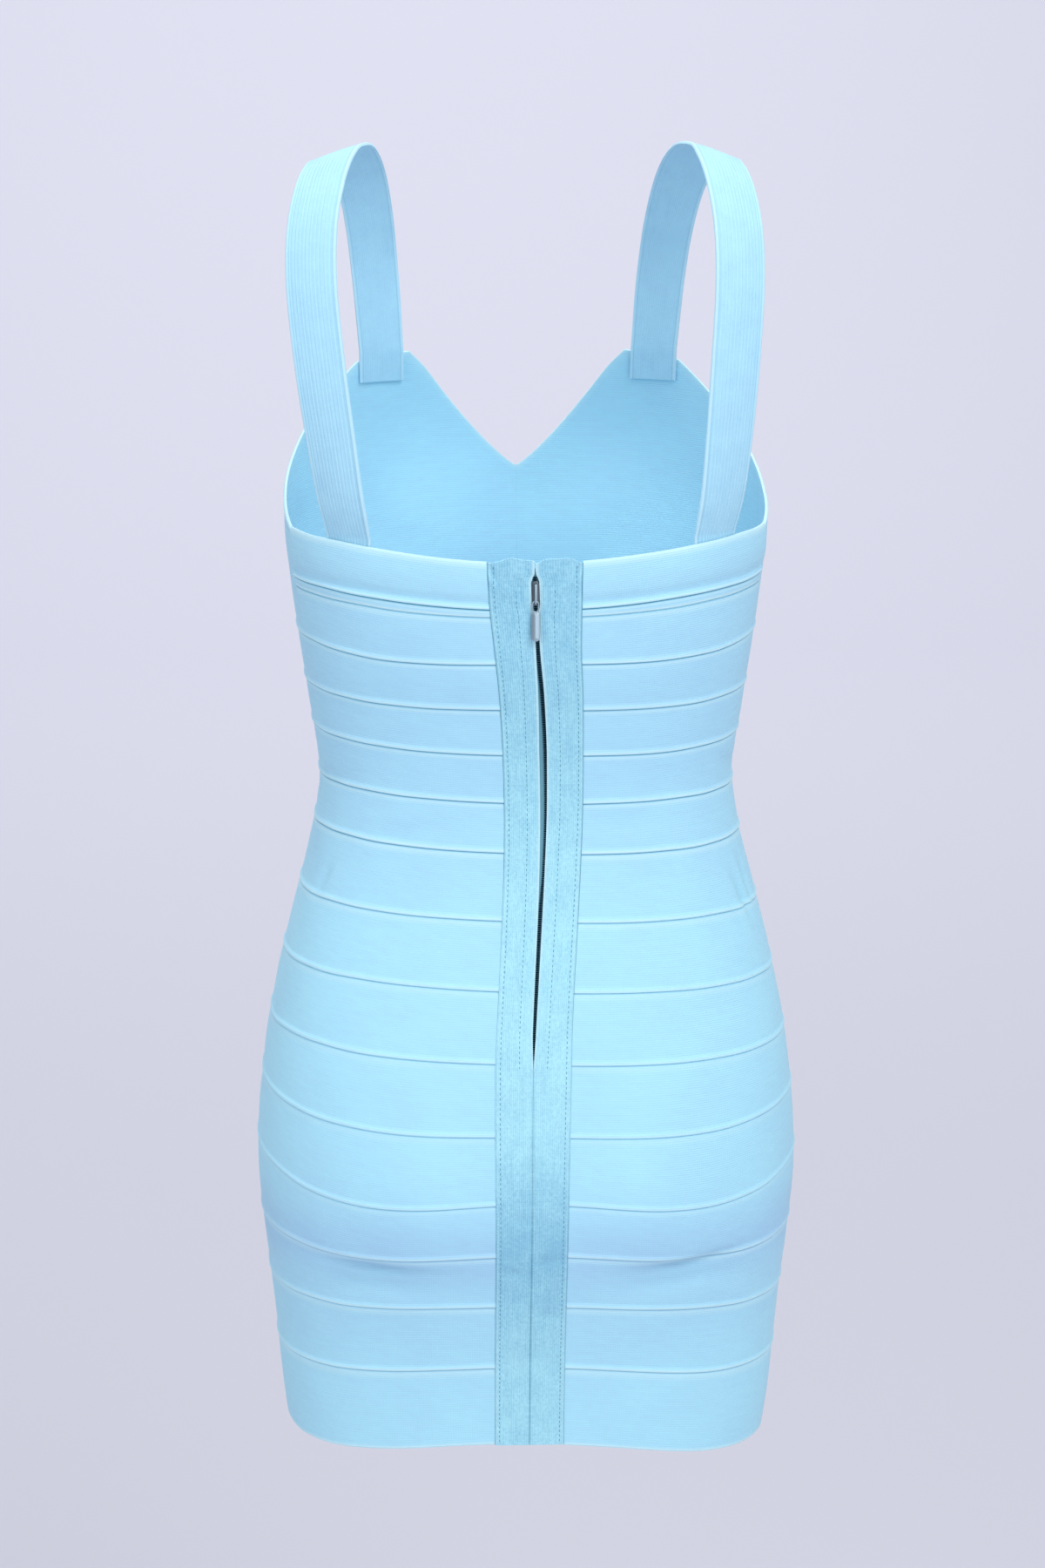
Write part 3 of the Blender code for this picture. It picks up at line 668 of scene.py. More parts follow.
@dataclass
class Wall:
    """Closed wall of cloth between an outer and an inner grid of points."""

    name: str
    outer: Grid
    inner: Grid
    along: Grid  # metres along the knit's ribs, at each grid point
    across: Grid  # metres across the ribs
    edge: Grid  # painted highlight: 1 on a crest or finished edge, falling to 0 away from it
    seam: Grid  # darker line, 1 at its darkest: a seam's thread with the painted shade of its groove, painted shade in the folds, and a line along a strap's first rib
    tension: int = 1  # column of the painted shade table that the piece follows
    crease: float = 55.0  # degrees at which two faces meet in a sharp edge
    fade: float = 80.0 * MM  # depth over which the painted shade of the shade table fades toward the front
    front_share: float = 0.35  # how much of that shade is left there

    def faces(self) -> Grid:
        """Quads of both skins and of the rim between them.

        Returns:
            Rows of four point numbers; the inner skin's come after the outer's.
        """
        rows, columns = self.outer.shape[:2]
        number = np.arange(rows * columns).reshape(rows, columns)
        back = number + rows * columns

        def quads(a: Grid, b: Grid, c: Grid, d: Grid) -> Grid:
            """Join four arrays of corners into rows of quads."""
            return np.stack([a.ravel(), b.ravel(), c.ravel(), d.ravel()], axis=1)

        skins = [
            quads(number[:-1, :-1], number[:-1, 1:], number[1:, 1:], number[1:, :-1]),
            quads(back[:-1, :-1], back[1:, :-1], back[1:, 1:], back[:-1, 1:]),
        ]
        rims = [
            quads(number[0, 1:], number[0, :-1], back[0, :-1], back[0, 1:]),
            quads(number[-1, :-1], number[-1, 1:], back[-1, 1:], back[-1, :-1]),
            quads(number[:-1, 0], number[1:, 0], back[1:, 0], back[:-1, 0]),
            quads(number[1:, -1], number[:-1, -1], back[:-1, -1], back[1:, -1]),
        ]
        return np.concatenate(skins + rims)

    def masks(self) -> dict[str, Grid]:
        """Masks that the finish reads, by attribute name, one value for each grid point.

        Returns:
            The painted edge highlights and the seam mask (a thread line with painted shade), scaled by the
            shade table at each height, and the painted shade.
        """
        behind = smooth_step(self.outer[..., 1] / self.fade + 0.5)
        # painted shade, read from the shade table by height and fading toward the front
        painted_shade = smooth_column(SHADE_TABLE, self.outer[..., 2], self.tension)
        painted_shade = painted_shade * (self.front_share + (1.0 - self.front_share) * behind)
        # how strongly the painted seam shade and edge highlights show at each height
        crisp = smooth_column(SHADE_TABLE, self.outer[..., 2], 3)
        edge, seam = self.edge * np.minimum(crisp, 1.0), self.seam * crisp
        return {"edge": edge, "seam": seam, "painted_shade": painted_shade}

    def area(self) -> float:
        """Measure the outer skin from the diagonals of its quads.

        Returns:
            Area in square metres.
        """
        one = self.outer[1:, 1:] - self.outer[:-1, :-1]
        two = self.outer[1:, :-1] - self.outer[:-1, 1:]
        return float(np.linalg.norm(np.cross(one, two), axis=-1).sum() / 2)

    def piece(self, material: Material) -> Object:
        """Make the wall a mesh object at the origin, with its UV map and its masks.

        Args:
            material: Finish of the cloth.

        Returns:
            The new object, linked to the scene.
        """
        points = np.concatenate([self.outer.reshape(-1, 3), self.inner.reshape(-1, 3)])
        quads = self.faces()
        corners = points[quads]
        volume = np.einsum("ij,ij->", corners[:, 0], np.cross(corners[:, 1], corners[:, 2]))
        volume += np.einsum("ij,ij->", corners[:, 0], np.cross(corners[:, 2], corners[:, 3]))
        if volume < 0.0:
            quads = quads[:, ::-1]
        mesh = bpy.data.meshes.new(self.name)
        mesh.from_pydata(points.tolist(), [], quads.tolist())
        place = np.stack([np.tile(self.along.ravel(), 2), np.tile(self.across.ravel(), 2)], axis=1)
        layer = mesh.uv_layers.new(name="Cloth")
        layer.data.foreach_set("uv", place[quads.ravel()].astype(np.float32).ravel())
        for name, values in self.masks().items():
            mask = mesh.attributes.new(name, "FLOAT", "POINT")
            mask.data.foreach_set("value", np.tile(values.ravel(), 2).astype(np.float32))
        mesh.materials.append(material)
        mesh.shade_smooth()
        mesh.set_sharp_from_angle(angle=math.radians(self.crease))
        return add_object(self.name, mesh)


@dataclass(frozen=True)
class HemProfile:
    """How far a band's outer skin stands out, by the distance from its two edges."""

    rise: float = 0.8 * MM  # of the lower hem
    crest: float = 1.4 * MM  # height of the hem's highest line
    reach: float = 3.8 * MM  # height at which the hem runs out
    lip: float = 0.35  # share of the rise that the hem's very edge keeps
    tuck: float = 0.35 * MM  # how far a sewn edge is drawn in
    tuck_reach: float = 1.5 * MM
    belly: float = 0.25 * MM  # fullness of the band's middle
    dip: float = 0.0  # groove above the hem
    dip_at: float = 4.4 * MM
    dip_reach: float = 1.7 * MM

    def offset(self, from_top: Grid, from_bottom: Grid, hemmed: bool) -> Grid:
        """Offset of the outer skin at each point of a band.

        Args:
            from_top: Distance below the upper edge.
            from_bottom: Distance above the lower edge.
            hemmed: True raises a hem, False tucks the edge in.

        Returns:
            Distance outside the figure's surface.
        """
        share = from_top / np.maximum(from_top + from_bottom, 1e-6)
        lift = self.belly * np.sin(math.pi * np.clip(share, 0.0, 1.0))
        lift = lift - self.tuck * np.clip(1.0 - from_top / self.tuck_reach, 0.0, 1.0) ** 2
        lift = lift - self.dip * np.exp(-(((from_bottom - self.dip_at) / self.dip_reach) ** 2))
        if hemmed:
            low = np.clip(1.0 - from_bottom / self.crest, 0.0, 1.0)
            arc = np.sqrt(np.maximum(0.0, 1.0 - low**2))
            under = self.rise * (self.lip + (1.0 - self.lip) * arc)
            fall = 1.0 - smooth_step((from_bottom - self.crest) / (self.reach - self.crest))
            lift = lift + np.where(from_bottom < self.crest, under, self.rise * fall)
        else:
            lift = lift - self.tuck * np.clip(1.0 - from_bottom / self.tuck_reach, 0.0, 1.0) ** 2
        return lift


# Millimetres from a band's upper and lower seam, close where the cloth turns.
TOP_MARKS = (0.0, 0.25, 0.6, 1.1, 1.7)
HEM_MARKS = (4.6, 3.8, 3.2, 2.7, 2.2, 1.8, 1.4, 1.05, 0.7, 0.4, 0.15, 0.0)


def band_marks(
    steps: int,
    top: Sequence[float] = TOP_MARKS,
    hem: Sequence[float] = HEM_MARKS,
) -> list[tuple[float, float]]:
    """Rows of a band as (share of its height, shift up in metres), close at the edges.

    Args:
        steps: Rows between the two edges.
        top: Millimetres below the upper seam.
        hem: Millimetres above the lower seam.

    Returns:
        The rows, from the top down.
    """
    first, last = top[-1] * MM, hem[0] * MM
    marks = [(0.0, -mark * MM) for mark in top]
    for step in range(1, steps):
        share = step / steps
        marks.append((share, last * share - first * (1.0 - share)))
    return marks + [(1.0, mark * MM) for mark in hem]


NARROW_MARKS = band_marks(5, TOP_MARKS[:4], TOP_MARKS[3::-1])


@dataclass
class Band:
    """Knitted band between two seams, from one facing strip to the other or to a side seam."""

    node: str
    upper: Seam
    lower: Seam
    side: int = 0  # 0 runs all round, +1 and -1 end at a side seam
    hemmed: bool = True
    profile: HemProfile = field(default_factory=HemProfile)
    marks: list[tuple[float, float]] = field(default_factory=lambda: band_marks(10))
    columns: int = 264
    fold_shade: float = 5.0 * MM  # depth of a fold's trough at which its painted shade is darkest | how fast that painted shade darkens, and the most that it does
    fold_power: float = 1.6  # how fast it darkens, and the most that it does
    fold_share: float = 0.5
    seam_line: float = 0.42 * MM
    seam_growth: float = 0.6  # how far the seam's dark line of thread and painted shade widens where the shade table paints seams stronger
    turn_share: float = 0.55  # how strong the painted highlight on the upper edge beside the hem is
    stitching: float = 1.0  # how plainly the upper seam's thread and painted shade show

    def turns(self, start_height: float) -> Grid:
        """Turns of the columns in a row of the band.

        Args:
            start_height: Height of the row at the facing strip.

        Returns:
            Radians from the centre back to +X.
        """
        if self.side:
            near = strip_edge(start_height, self.side) + self.side * SEAM_GAP
            seam_turn = math.radians(SIDE_SEAM) - SIDE_GAP
            start = FIGURE.turn_at(near, start_height)
            return np.linspace(start, self.side * seam_turn, self.columns + 1)
        start = FIGURE.turn_at(strip_edge(start_height, 1) + SEAM_GAP, start_height)
        end = FIGURE.turn_at(strip_edge(start_height, -1) - SEAM_GAP, start_height) + 2 * math.pi
        return np.linspace(start, end, self.columns + 1)

    def wall(self) -> Wall:
        """Build the band's wall from its marks.

        Returns:
            The wall, with its ribs running round the dress.
        """
        turns, heights, tops, bottoms = [], [], [], []
        for share, shift in self.marks:
            top = FIGURE.seam_height(self.upper, 0.0) - SEAM_GAP / 2
            bottom = FIGURE.seam_height(self.lower, 0.0) + SEAM_GAP / 2
            row = self.turns(float(top + share * (bottom - top) + shift))
            top = FIGURE.seam_height(self.upper, row) - SEAM_GAP / 2
            bottom = FIGURE.seam_height(self.lower, row) + SEAM_GAP / 2
            turns.append(row)
            tops.append(top)
            bottoms.append(bottom)
            heights.append(top + share * (bottom - top) + shift)
        turn, height = np.array(turns), np.array(heights)
        from_top, from_bottom = np.array(tops) - height, height - np.array(bottoms)
        offset = self.profile.offset(from_top, from_bottom, self.hemmed)
        outer = FIGURE.skin(turn, height, offset)
        inner = FIGURE.skin(turn, height, np.full(turn.shape, -WALL))
        middle = len(self.marks) // 2
        along = np.broadcast_to(run_length(outer, 1)[middle], turn.shape)
        tall = float(np.mean(from_top + from_bottom))
        across = from_top / (from_top + from_bottom) * tall
        # painted shade in the folds' troughs, added to the seam mask
        fold_painted_shade = -FIGURE.relief(FIGURE.points(turn, height)) / self.fold_shade
        fold_painted_shade = np.clip(fold_painted_shade, 0.0, 1.0) ** self.fold_power
        seam = 0.0 * height
        # dark seam line: its thread and the painted shade of its groove
        if self.upper is not TOP:
            crisp = np.maximum(1.0, smooth_column(SHADE_TABLE, height, 3))
            reach = self.seam_line * crisp**self.seam_growth
            seam = self.stitching * line_mask(from_top, STITCH_PLACE, reach)
        seam = seam + self.fold_share * fold_painted_shade
        # painted highlights on the hem's crest, where the band comes out of its upper seam, and on the top
        # band's fold
        edge = line_mask(from_bottom, *HEM_LINE)
        edge = edge + self.turn_share * line_mask(from_top, *TURN_LINE)
        if self.upper is TOP:
            edge = edge + line_mask(from_top, *TOP_LINE)
        return Wall(f"{self.node}_knit", outer, inner, along, across, np.clip(edge, 0.0, 1.0), seam)


def edge_run(points: Sequence[EdgePoint], steps: int) -> list[tuple[float, float]]:
    """Smooth run of points through a short table.

    Args:
        points: Rows of the table, by rising turn.
        steps: Number of points to make.

    Returns:
        Pairs of degrees round and height, without the last.
    """
    falling = [(-point.turn, point.height) for point in points]
    turns = np.linspace(points[0].turn, points[-1].turn, steps + 1)[:-1]
    return list(zip(turns.tolist(), smooth_column(falling, -turns, 1).tolist()))


@dataclass
class Cup:
    """Front piece from the side seam to the centre front, over one half of the bust."""

    node: str
    side: int
    armhole_steps: int = 44
    strap_steps: int = 14
    neckline_steps: int = 40
    body_steps: int = 26
    bound: float = 0.45 * MM  # how far the bound top edge stands proud
    bound_at: float = 1.4 * MM
    bound_reach: float = 1.2 * MM
    binding: float = 0.8  # how plainly its seam's thread and painted shade show

    def top_edge(self) -> tuple[Grid, Grid]:
        """Follow the piece's top edge: armhole, strap and neckline.

        Returns:
            Turns in radians, and heights.
        """
        run = edge_run(ARMHOLE, self.armhole_steps)
        first, last = STRAP_EDGE
        swing, rise = last.turn - first.turn, last.height - first.height
        for share in np.linspace(0.0, 1.0, self.strap_steps + 1)[:-1].tolist():
            run.append((first.turn + share * swing, first.height + share * rise))
        run += edge_run(NECKLINE, self.neckline_steps)
        run.append((NECKLINE[-1].turn, NECKLINE[-1].height))
        turns = np.radians([turn for turn, _ in run])
        tops = np.array([top for _, top in run])
        turns[0] += SIDE_GAP
        turns[-1] = float(FIGURE.turn_at(np.array(SEAM_GAP / 2), tops[-1], front=True))
        return self.side * turns, tops

    def wall(self) -> Wall:
        """Build the piece's wall, with a bound top edge and a raised lower hem.

        Returns:
            The wall, with its ribs running round the dress.
        """
        turns, tops = self.top_edge()
        bottoms = FIGURE.seam_height(SEAMS[FIRST_RING], turns) + SEAM_GAP / 2
        marks = band_marks(self.body_steps)
        heights = [tops + share * (bottoms - tops) + shift for share, shift in marks]
        height = np.array(heights)
        turn = np.broadcast_to(turns, height.shape)
        from_top, from_bottom = tops - height, height - bottoms
        offset = HemProfile(belly=0.0).offset(from_top, from_bottom, True)
        offset = offset + self.bound * line_mask(from_top, self.bound_at, self.bound_reach)
        outer = FIGURE.skin(turn, height, offset)
        inner = FIGURE.skin(turn, height, np.full(turn.shape, -WALL))
        along = np.broadcast_to(run_length(outer, 1)[len(heights) // 2], turn.shape)
        # painted highlights on the bound top edge and on the hem's crest
        edge = line_mask(from_top, *BOUND_LINE) + line_mask(from_bottom, *HEM_LINE)
        seam = self.binding * line_mask(from_top, *BINDING_SEAM)
        edge = np.clip(edge, 0.0, 1.0)
        return Wall(f"{self.node}_knit", outer, inner, along, -height, edge, seam)


@dataclass
class FacingStrip:
    """Ribbed strip beside the zip, from the top edge to the hem."""

    node: str
    side: int
    top: float = -232.5 * MM
    rise: float = 0.8 * MM  # how far the strip stands proud, and its edges
    edge_rise: float = 0.45 * MM
    rounding: float = 1.1 * MM
    rib: float = 0.14 * MM
    ribs: int = 18
    points_a_rib: int = 3
    row_step: float = 2.6 * MM
    outer_stitch: float = 0.87  # shares of the strip's width, from the zip outwards
    inner_stitch: float = 0.36
    groove: float = 0.22 * MM
    groove_width: float = 0.75 * MM
    crown: float = 2.5 * MM  # how uneven the strip's gathered top edge is
    crown_reach: float = 16.0 * MM
    hump: float = 1.15  # parts of the crown: one hump, its seat and a slight wave
    hump_seat: float = 0.75
    hump_fit: tuple[float, float] = (1.08, 0.04)  # its width, and its lean to one side
    hump_power: float = 0.7
    wave: float = 0.16
    wave_fit: tuple[float, float] = (13.0, 1.3)  # radians across, and where it starts
    gather: float = 1.7  # how strongly the puckers show
    through: float = 0.5  # how much of a pucker reaches the inner side
    closed_from: float = -547.0 * MM
    closing: float = 10.0 * MM
    zip_line: Line = Line(0.6 * MM, 0.8 * MM)
    side_line: Line = Line(1.2 * MM, 0.6 * MM)
    side_seam: Line = Line(0.0, 0.40 * MM)
    centre_seam: Line = Line(0.0, 0.35 * MM)
    zip_share: float = 0.9  # how strong the painted highlights on the edges at the zip and at the side are
    side_share: float = 0.3
    stitch_step: float = 1.5 * MM

    def place(self, share: Grid, height: Grid) -> Grid:
        """X of places across the strip.

        Args:
            share: 0 at the zip, 1 at the strip's outer edge.
            height: Height of each place.

        Returns:
            X of each place.
        """
        centre = smooth_column(STRIP_ROWS, height, 1)
        near = centre + self.side * straight_column(STRIP_ROWS, height, 3) / 2
        return near + (strip_edge(height, self.side) - near) * share

    def lift(self, share: Grid, height: Grid) -> Grid:
        """Raise the strip's outer skin: rounded edges, ribs, stitch grooves and puckers.

        Args:
            share: 0 at the zip, 1 at the strip's outer edge.
            height: Height of each place.

        Returns:
            Distance outside the figure's surface.
        """
        width = smooth_column(STRIP_ROWS, height, 2)
        from_edge = np.minimum(share, 1.0 - share) * width
        rounded = smooth_step(from_edge / self.rounding)
        offset = self.edge_rise + (self.rise - self.edge_rise) * rounded
        offset = offset + self.rib * rounded * np.cos(2 * math.pi * self.ribs * share)
        for stitch in (self.outer_stitch, self.inner_stitch):
            away = (share - stitch) * width
            offset = offset - self.groove * line_mask(away, 0.0, self.groove_width)
        return offset + self.crumple(self.place(share, height), height)

    def crumple(self, x: Grid, height: Grid) -> Grid:
        """How far the small puckers lift the strip.

        Args:
            x: Sideways place of each point.
            height: Height of each point.

        Returns:
            Lift at each point; a trough is negative.
        """
        total = np.zeros(np.broadcast(x, height).shape)
        for pucker in PUCKERS:
            tilt = math.radians(pucker.tilt)
            right, up = x - pucker.x, height - pucker.height
            line = right * math.cos(tilt) + up * math.sin(tilt)
            beside = up * math.cos(tilt) - right * math.sin(tilt)
            total = total + pucker.rise * soft_ripple(line, beside, pucker.reach, pucker.width)
        return self.gather * total

    def skin(self, share: Grid, height: Grid, offset: Grid) -> Grid:
        """Points of the strip off the figure's surface."""
        return FIGURE.skin(FIGURE.turn_at(self.place(share, height), height), height, offset)

    def wall(self) -> Wall:
        """Build the strip's wall.

        Returns:
            The wall, with its ribs running down the dress.
        """
        hem = float(FIGURE.seam_height(SEAMS[-1], 0.0))
        rows = int(math.ceil((self.top - hem) / self.row_step))
        share = np.linspace(0.0, 1.0, self.ribs * self.points_a_rib + 1)
        level = np.linspace(self.top, hem, rows + 1)
        share, level = np.broadcast_arrays(share[None, :], level[:, None])
        fade = smooth_step(1.0 - (self.top - level) / self.crown_reach)
        wide, lean = self.hump_fit
        hump = np.sin(math.pi * np.clip(wide * share + lean * self.side, 0.0, 1.0))
        turns, start = self.wave_fit
        bumps = self.hump * hump**self.hump_power - self.hump_seat
        bumps = bumps + self.wave * np.sin(turns * share + start * self.side)
        height = level + self.crown * fade * bumps
        crumple = self.crumple(self.place(share, height), height)
        outer = self.skin(share, height, self.lift(share, height))
        inner = self.skin(share, height, crumple * self.through - WALL)
        width = float(np.mean(smooth_column(STRIP_ROWS, level[:, 0], 2)))
        zipped = smooth_step((level - self.closed_from) / self.closing + 0.5)
        from_zip, from_side = share * width, (1.0 - share) * width
        # painted highlight on the zip edge where the strips stand open, and on the side edge
        edge = self.zip_share * zipped * line_mask(from_zip, *self.zip_line)
        edge = edge + self.side_share * line_mask(from_side, *self.side_line)
        # dark lines of thread and painted shade at the side seam and, below the zip, at the closed centre
        seam = line_mask(from_side, *self.side_seam)
        seam = seam + (1.0 - zipped) * line_mask(from_zip, *self.centre_seam)
        along = self.top - level
        return Wall(f"{self.node}_rib", outer, inner, along, from_zip, edge, seam, tension=2)

    def stitch_path(self, share: float, top: float, bottom: float, sink: float) -> Grid:
        """Line of stitches down the strip.

        Args:
            share: Place across the strip, 0 at the zip and 1 at its outer edge.
            top: Height at which the line starts.
            bottom: Height at which it ends.
            sink: How far the thread lies in the cloth.

        Returns:
            Points from the top down.
        """
        height = np.linspace(top, bottom, max(2, int((top - bottom) / self.stitch_step)))
        across = np.full(height.shape, share)
        return self.skin(across, height, self.lift(across, height) - sink)


@dataclass
class ZipTape:
    """Woven tape of one half of the zip, behind its facing strip."""

    node: str
    side: int
    top: float = -238.0 * MM
    end: float = -562.0 * MM
    width: float = 12.0 * MM
    thick: float = 0.9 * MM
    seat: float = 0.4 * MM  # clear space behind the strip
    bead: float = 0.15 * MM  # woven cord beside the teeth
    bead_at: float = 1.2 * MM
    bead_reach: float = 0.6 * MM
    columns: int = 16
    row_step: float = 3.0 * MM

    def wall(self) -> Wall:
        """Build the tape's wall, with a fine bead along its edge at the teeth.

        Returns:
            The wall, with its warp running down the dress.
        """
        rows = int((self.top - self.end) / self.row_step)
        share = np.linspace(0.0, 1.0, self.columns + 1)[None, :]
        height = np.linspace(self.top, self.end, rows + 1)[:, None]
        share, height = np.broadcast_arrays(share, height)
        near = smooth_column(STRIP_ROWS, height, 1) + self.side * SEAM_GAP / 2
        x = near + self.side * self.width * share
        turn = FIGURE.turn_at(x, height)
        face = -WALL - self.seat
        from_teeth = share * self.width
        bead = self.bead * line_mask(from_teeth, self.bead_at, self.bead_reach)
        outer = FIGURE.skin(turn, height, face + bead)
        inner = FIGURE.skin(turn, height, np.full(turn.shape, face - self.thick))
        plain = np.zeros(turn.shape)
        return Wall(f"{self.node}_weave", outer, inner, self.top - height, from_teeth, plain, plain)


@dataclass
class Strap:
    """Knitted strap, from behind the top band over the shoulder to behind the cup."""

    node: str
    side: int
    width: float = 31.5 * MM
    thick: float = 1.6 * MM
    bow: float = 1.3 * MM  # how far the strap's edges bend to the shoulder
    seat: float = 0.7 * MM  # clear space between a foot and its panel
    foot: float = 20.0 * MM  # length sewn behind a panel
    foot_steps: int = 7
    runs: int = 11  # steps between two rows of the path
    ease: float = 0.8  # share of them over which a foot runs into the strap
    ribs: int = 14
    points_a_rib: int = 6
    rib: float = 0.22 * MM
    plain_edge: float = 1.6 * MM  # width beside each edge that has no ribs
    rib_start: float = 0.8 * MM
    selvedge: float = 0.25 * MM  # rolled edge
    selvedge_line: Line = Line(0.9 * MM, 0.7 * MM)
    rim: float = 0.3 * MM  # how far the very edge is rounded off
    rim_line: Line = Line(0.0, 0.35 * MM)
    edge_line: Line = Line(0.6 * MM, 1.0 * MM)
    rib_line: Line = Line(2.1 * MM, 0.4 * MM)
    rib_share: float = 0.3  # how plainly the first rib's line shows

    def path(self) -> Grid:
        """Read a smooth curve through the strap's table.

        Returns:
            Rows of place, roll and sway, from the back foot to the front one.
        """
        rows = [self.foot_centre(BACK_FOOT, False), *STRAP_ROWS, self.foot_centre(FRONT_FOOT, True)]
        table = np.array(rows, float)
        table = np.concatenate([table[:1], table, table[-1:]])
        result = []
        for a, b, c, d in zip(table, table[1:], table[2:], table[3:]):
            for t in np.arange(self.runs) / self.runs:
                bend = (2 * a - 5 * b + 4 * c - d) * t * t + (3 * b - a - 3 * c + d) * t**3
                result.append((2 * b + (c - a) * t + bend) / 2)
        result.append(table[-1])
        return np.array(result)

    def foot_centre(self, foot: StrapRow, front: bool) -> StrapRow:
        """Row of the path where a foot goes in behind its panel.

        Args:
            foot: Foot, with its x, height and roll.
            front: True for the front piece's foot.

        Returns:
            The foot's row, seated behind the panel.
        """
        turn = FIGURE.turn_at(np.array(foot.x), np.array(foot.z), front)
        face = -WALL - self.seat - self.thick
        surface = FIGURE.points(turn, np.array(foot.z))
        middle = surface + FIGURE.outward(turn, np.array(foot.z)) * face
        return StrapRow(float(middle[0]), float(middle[1]), float(middle[2]), foot.roll, foot.sway)

    def foot_rows(self, foot: StrapRow, front: bool, across: Grid) -> tuple[Grid, Grid]:
        """Points of a foot, from its panel's edge down behind it.

        Args:
            foot: Foot, with its x, height and roll.
            front: True for the front piece's foot.
            across: Places across the strap, from -1 to 1.

        Returns:
            Outer and inner points.
        """
        depth = np.linspace(0.0, self.foot, self.foot_steps)[:, None]
        spread = self.width / 2 * math.cos(math.radians(foot.roll))
        height, share = np.broadcast_arrays(foot.z - depth, across[None, :])
        turn = FIGURE.turn_at(foot.x + share * spread, height, front)
        face = -WALL - self.seat
        surface, normal = FIGURE.points(turn, height), FIGURE.outward(turn, height)
        return surface + normal * face, surface + normal * (face - self.thick)

    def run_rows(self, across: Grid) -> tuple[Grid, Grid]:
        """Points of the free strap, from foot to foot.

        Args:
            across: Places across the strap, from -1 to 1.

        Returns:
            Outer and inner points.
        """
        path = self.path()
        places = path[:, :3].copy()
        way = np.gradient(places, axis=0)
        way = way / np.linalg.norm(way, axis=1, keepdims=True)
        level = np.array([1.0, 0.0, 0.0]) - way * way[:, :1]
        level = level / np.linalg.norm(level, axis=1, keepdims=True)
        face = np.cross(way, level)
        roll = np.radians(path[:, 3:4])
        width_way = level * np.cos(roll) - face * np.sin(roll)
        normal = face * np.cos(roll) + level * np.sin(roll)
        places[:, 0] += self.side * path[:, 4]
        half = across[None, :, None] * self.width / 2
        middle = places[:, None, :] + width_way[:, None, :] * half
        inner = middle - normal[:, None, :] * (self.bow * across[None, :, None] ** 2)
        return inner + normal[:, None, :] * self.thick, inner

    def skins(self, across: Grid) -> tuple[Grid, Grid]:
        """Join the free strap to its two feet, each eased into it.

        Args:
            across: Places across the strap, from -1 to 1.

        Returns:
            Outer and inner points from the end of one foot to the end of the other.
        """
        feet = (self.foot_rows(BACK_FOOT, False, across), self.foot_rows(FRONT_FOOT, True, across))
        skins = []
        for skin, behind, before in zip(self.run_rows(across), *feet):
            steps = np.arange(len(skin))
            for foot, end, away in ((behind, 0, steps), (before, -1, steps[::-1])):
                ease = 1.0 - smooth_step(away / (self.runs * self.ease))[:, None, None]
                skin = skin + ease * (foot[0] - skin[end])
            skins.append(np.concatenate([behind[:0:-1], skin, before[1:]]))
        return skins[0], skins[1]

    def wall(self) -> Wall:
        """Build the strap's wall, with its ribs, rolled edges and two feet.

        Returns:
            The wall, with its ribs running along the strap.
        """
        across = np.linspace(-1.0, 1.0, self.ribs * self.points_a_rib + 1)
        outer, inner = self.skins(across)
        from_edge = (1.0 - np.abs(across)) * self.width / 2
        ribs = self.rib * (np.cos(math.pi * self.ribs * (across + 1.0)) - 1.0) / 2
        ribs = ribs * smooth_step((from_edge - self.plain_edge) / self.rib_start)
        roll = self.selvedge * line_mask(from_edge, *self.selvedge_line)
        lift = (ribs + roll - self.rim * line_mask(from_edge, *self.rim_line))[None, :, None]
        normal = outer - inner
        normal = normal / np.linalg.norm(normal, axis=-1, keepdims=True)
        outer = outer + normal * lift
        flip = np.array([self.side, 1.0, 1.0])
        columns = (
            run_length(outer, 0)[:, len(across) // 2][:, None],
            (across + 1.0) / 2 * self.width,
            line_mask(from_edge, *self.edge_line),
            self.rib_share * line_mask(from_edge, *self.rib_line),
        )
        grids = (np.broadcast_to(column, outer.shape[:2]) for column in columns)
        return Wall(f"{self.node}_knit", outer * flip, inner * flip, *grids)


# ---- metal parts
def skin_rings(name: str, rings: Sequence[Grid], closed: bool = False) -> Mesh:
    """Join rings of points into one closed mesh.

    Args:
        name: Name of the mesh.
        rings: Rings of as many points each, in order.
        closed: True joins the last to the first, False caps both.

    Returns:
        The mesh, with outward normals.
    """
    shape = bmesh.new()
    loops = [[shape.verts.new(point) for point in ring] for ring in rings]
    following = loops[1:] + (loops[:1] if closed else [])
    for near, far in zip(loops, following):
        for k, corner in enumerate(near):
            after = (k + 1) % len(near)
            shape.faces.new((corner, near[after], far[after], far[k]))
    if not closed:
        shape.faces.new(loops[0])
        shape.faces.new(loops[-1])
    bmesh.ops.recalc_face_normals(shape, faces=shape.faces)
    mesh = bpy.data.meshes.new(name)
    shape.to_mesh(mesh)
    shape.free()
    mesh.shade_smooth()
    mesh.set_sharp_from_angle(angle=math.radians(METAL_CREASE))
    return mesh


def joined(name: str, meshes: Sequence[Mesh], material: Material) -> Object:
    """Put several closed meshes into one object with one finish.

    Args:
        name: Name of the object.
        meshes: Meshes to join; they are used up.
        material: Finish of the object.

    Returns:
        The new object, linked to the scene.
    """
    shape = bmesh.new()
    for mesh in meshes:
        shape.from_mesh(mesh)
        bpy.data.meshes.remove(mesh)
    result = bpy.data.meshes.new(name)
    shape.to_mesh(result)
    shape.free()
    result.materials.append(material)
    return add_object(name, result)


